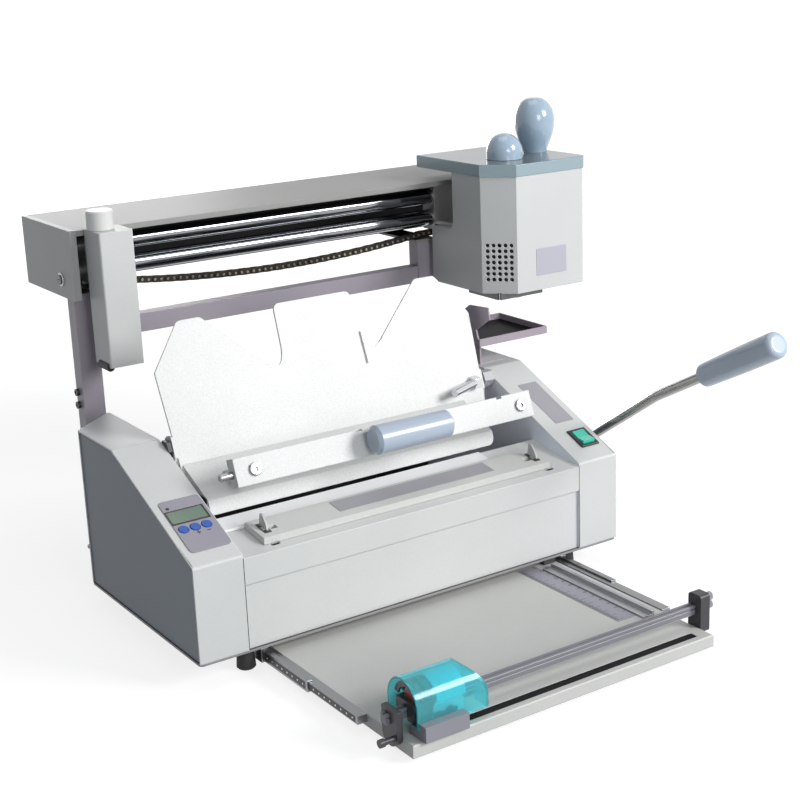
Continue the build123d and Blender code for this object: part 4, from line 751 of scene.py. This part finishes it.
# Rule: a tick for each millimetre, longer for each fifth and longest for each tenth, and a number
# for each centimetre, all printed in black on the strip.
tick_recipe, given = recipe_with("rule_ticks", "Tick Count", "Tick Gap", "Tick Length", "Tick Width")
step = node(tick_recipe, "ShaderNodeCombineXYZ", {"Y": given["Tick Gap"]})
row = node(tick_recipe, "GeometryNodeMeshLine", {"Count": given["Tick Count"], "Offset": step.outputs[0]})
number = node(tick_recipe, "GeometryNodeInputIndex").outputs[0]
tick = node(tick_recipe, "GeometryNodeMeshGrid", {
    "Vertices X": 2, "Vertices Y": 2, "Size X": given["Tick Length"], "Size Y": given["Tick Width"]})
aside = node(tick_recipe, "ShaderNodeCombineXYZ", {
    "X": reckon(tick_recipe, "MULTIPLY", given["Tick Length"], 0.5)})
shifted = node(tick_recipe, "GeometryNodeTransform", {
    "Geometry": tick.outputs["Mesh"], "Translation": aside.outputs[0]})
share = 0.4  # of the longest tick
for every, length in ((5, 0.65), (10, 1.0)):
    marked = reckon(tick_recipe, "LESS_THAN", reckon(tick_recipe, "MODULO", number, every), 0.5)
    share = reckon(tick_recipe, "MAXIMUM", reckon(tick_recipe, "MULTIPLY", marked, length), share)
scale = node(tick_recipe, "ShaderNodeCombineXYZ", {"X": share, "Y": 1.0, "Z": 1.0})
on_row = node(tick_recipe, "GeometryNodeInstanceOnPoints", {
    "Points": row.outputs["Mesh"], "Instance": shifted.outputs["Geometry"], "Scale": scale.outputs[0]})
close_recipe(tick_recipe, given, on_row.outputs["Instances"])
tick_black = moulded("tick_black", (0.02, 0.02, 0.03), rough=0.6)
start_mesh = bpy.data.meshes.new("rule_start")
start_mesh.from_pydata([(0, 0, 0)], [], [])
tick_sizes = {"Tick Count": 131, "Tick Gap": 0.001, "Tick Length": 0.0085, "Tick Width": 0.0004,
              "Finish": tick_black}
rule_start, figure_size = -276, 0.0052
ticks = grown("rule_ticks", start_mesh, tick_recipe, tick_sizes)
ticks.transform(Matrix.Translation(at(103.4, rule_start, 14.27)))
piece_from(ticks, "rule_ticks", "tray", "overlay")
figures = bmesh.new()
for centimetre in range(1, 14):
    lettering = bpy.data.curves.new("rule_figure", "FONT")
    lettering.body = str(centimetre)
    lettering.size = figure_size
    lettering.align_x = "CENTER"
    holder = bpy.data.objects.new("rule_figure", lettering)
    bpy.context.collection.objects.link(holder)
    bpy.context.view_layer.update()
    flat = bpy.data.meshes.new_from_object(holder.evaluated_get(bpy.context.evaluated_depsgraph_get()))
    flat.transform(Matrix.Translation(at(118.6, rule_start + 10 * centimetre, 14.28))
                   @ Matrix.Rotation(math.radians(-90), 4, "Z"))
    figures.from_mesh(flat)
    bpy.data.objects.remove(holder)
    bpy.data.meshes.remove(flat)
keep(figures, "rule_figures", tick_black, "tray", "overlay")

# Slides: rolled zinc-plated steel. The inner and the middle member show a ball race as a black strip, and
# the tops of its balls.
race_black = moulded("race_black", (0.012, 0.012, 0.014), rough=0.35)
ball_gap = 8
for side_name, sign in (("left", -1), ("right", 1)):
    for member, x, y_low, y_high, z_low, z_high, body in (
            ("inner", 154.5, -282, -217, 9.0, 14.0, "tray"),
            ("middle", 156.0, -212, -24, 8.4, 14.6, "slide_middle")):
        corners = patch(lambda y, z: at(sign * x, y, z), y_high, y_low, z_low, z_high)
        film("race_%s_%s" % (member, side_name), corners if sign < 0 else corners[::-1],
             0.10, race_black, body, "zinc")
        middle_z = (z_low + z_high) / 2
        spots = [(at(sign * (x + 0.08), y_low + ball_gap / 2 + ball_gap * k, middle_z), (sign, 0, 0))
                 for k in range(int((y_high - y_low) / ball_gap))]
        screws("balls_%s_%s" % (member, side_name), spots, 0.75, 0.14, 0.3, polished_steel, body, "steel")

# Rail ends and cutter: a moulded bracket at each end holds the rail, and two knurled screws hold
# the right one. The cutter runs on the rail under a cyan hood that can be seen through.
grey_moulding = moulded("grey_moulding", (0.235, 0.235, 0.265), rough=0.45, tone=0.06)
bracket_dark = moulded("bracket_dark", (0.035, 0.035, 0.04), rough=0.4, texture=0.0001)
red_moulding = moulded("red_moulding", (0.42, 0.03, 0.02), rough=0.3)
lined(red_moulding, (0.02, 0.02, 0.022), *[(*way, "Z", -1, 0.0372) for way in every_way])
dress(red_moulding, "cutter_body")
dress(grey_moulding, "press_block")
dress(bracket_dark, "rail_blocks")
knurl_recipe, given = recipe_with("knurled_head", "Head Radius", "Head Height", "Rib Count")
core = node(knurl_recipe, "GeometryNodeMeshCylinder", {
    "Vertices": 24, "Radius": given["Head Radius"], "Depth": given["Head Height"]})
ring = node(knurl_recipe, "GeometryNodeMeshCircle", {
    "Vertices": given["Rib Count"], "Radius": given["Head Radius"]})
rib_size = node(knurl_recipe, "ShaderNodeCombineXYZ", {"X": 0.0006, "Y": 0.0004, "Z": given["Head Height"]})
rib = node(knurl_recipe, "GeometryNodeMeshCube", {"Size": rib_size.outputs[0]})
outward = node(knurl_recipe, "GeometryNodeInputPosition")
rib_turn = node(knurl_recipe, "FunctionNodeAlignRotationToVector", {"Vector": outward.outputs[0]}, axis="X")
ribs = node(knurl_recipe, "GeometryNodeInstanceOnPoints", {
    "Points": ring.outputs["Mesh"], "Instance": rib.outputs["Mesh"],
    "Rotation": rib_turn.outputs["Rotation"]})
joined = node(knurl_recipe, "GeometryNodeJoinGeometry", {"Geometry": core.outputs["Mesh"]})
feed(knurl_recipe, joined, {"Geometry": ribs.outputs["Instances"]})
one_head = node(knurl_recipe, "GeometryNodeRealizeInstances", {"Geometry": joined.outputs["Geometry"]})
standing = raised_by(knurl_recipe, one_head.outputs["Geometry"], given["Head Height"], 0.5)
close_recipe(knurl_recipe, given, aimed(knurl_recipe, given["Geometry"], standing))
bracket_spots = [(at(156.0, -326.0, z), right_way) for z in (38.0, 31.0)]
knurl_sizes = {"Head Radius": 0.0032, "Head Height": 0.0042, "Rib Count": 22, "Finish": grey_moulding}
piece_from(grown("bracket_screw", places("bracket_screw", bracket_spots), knurl_recipe, knurl_sizes),
           "bracket_screw", "tray", "grey_plastic")
hood_plastic = moulded("hood_plastic", (0.22, 0.86, 0.93), rough=0.10, texture=0.00001)
feed(hood_plastic.node_tree, hood_plastic.node_tree.nodes["Principled BSDF"], {
    "Transmission Weight": 0.82, "IOR": 1.35})
dress(hood_plastic, "cutter_hood")
hood_y, hood_z = -321, 35.5


def arc_band(name, x_low, x_high, inner, outer, low, high, look, slot, steps=20):
    """Part of a ring round the hood's own axis, between two angles seen from the left end."""
    shape = bmesh.new()
    rows = []
    for k in range(steps + 1):
        angle = math.radians(low + (high - low) * k / steps)
        rows.append([
            shape.verts.new(at(x, hood_y - radius * math.cos(angle), hood_z + radius * math.sin(angle)))
            for x, radius in ((x_low, inner), (x_low, outer), (x_high, outer), (x_high, inner))])
    for one, two in zip(rows, rows[1:]):
        for k in range(4):
            shape.faces.new((one[k], one[(k + 1) % 4], two[(k + 1) % 4], two[k]))
    shape.faces.new(rows[0])
    shape.faces.new(rows[-1][::-1])
    keep(shape, name, look, "cutter", slot)


liner_cyan = moulded("liner_cyan", (0.07, 0.56, 0.64), rough=0.22, clear=0.5)
arc_band("hood_liner", -119.0, -94.0, 15.2, 16.6, 2, 150, liner_cyan, "hood")
steel_ring, red_ring = (dark_steel, "steel"), (red_moulding, "red_plastic")
for index, along_rail in enumerate((-134.5, -130.0, -125.5, -121.0)):
    arc_band("drum_ring_%d" % (index + 1), along_rail, along_rail + 1.4, 11.0, 15.5, 8, 165,
             *(red_ring if index == 1 else steel_ring))
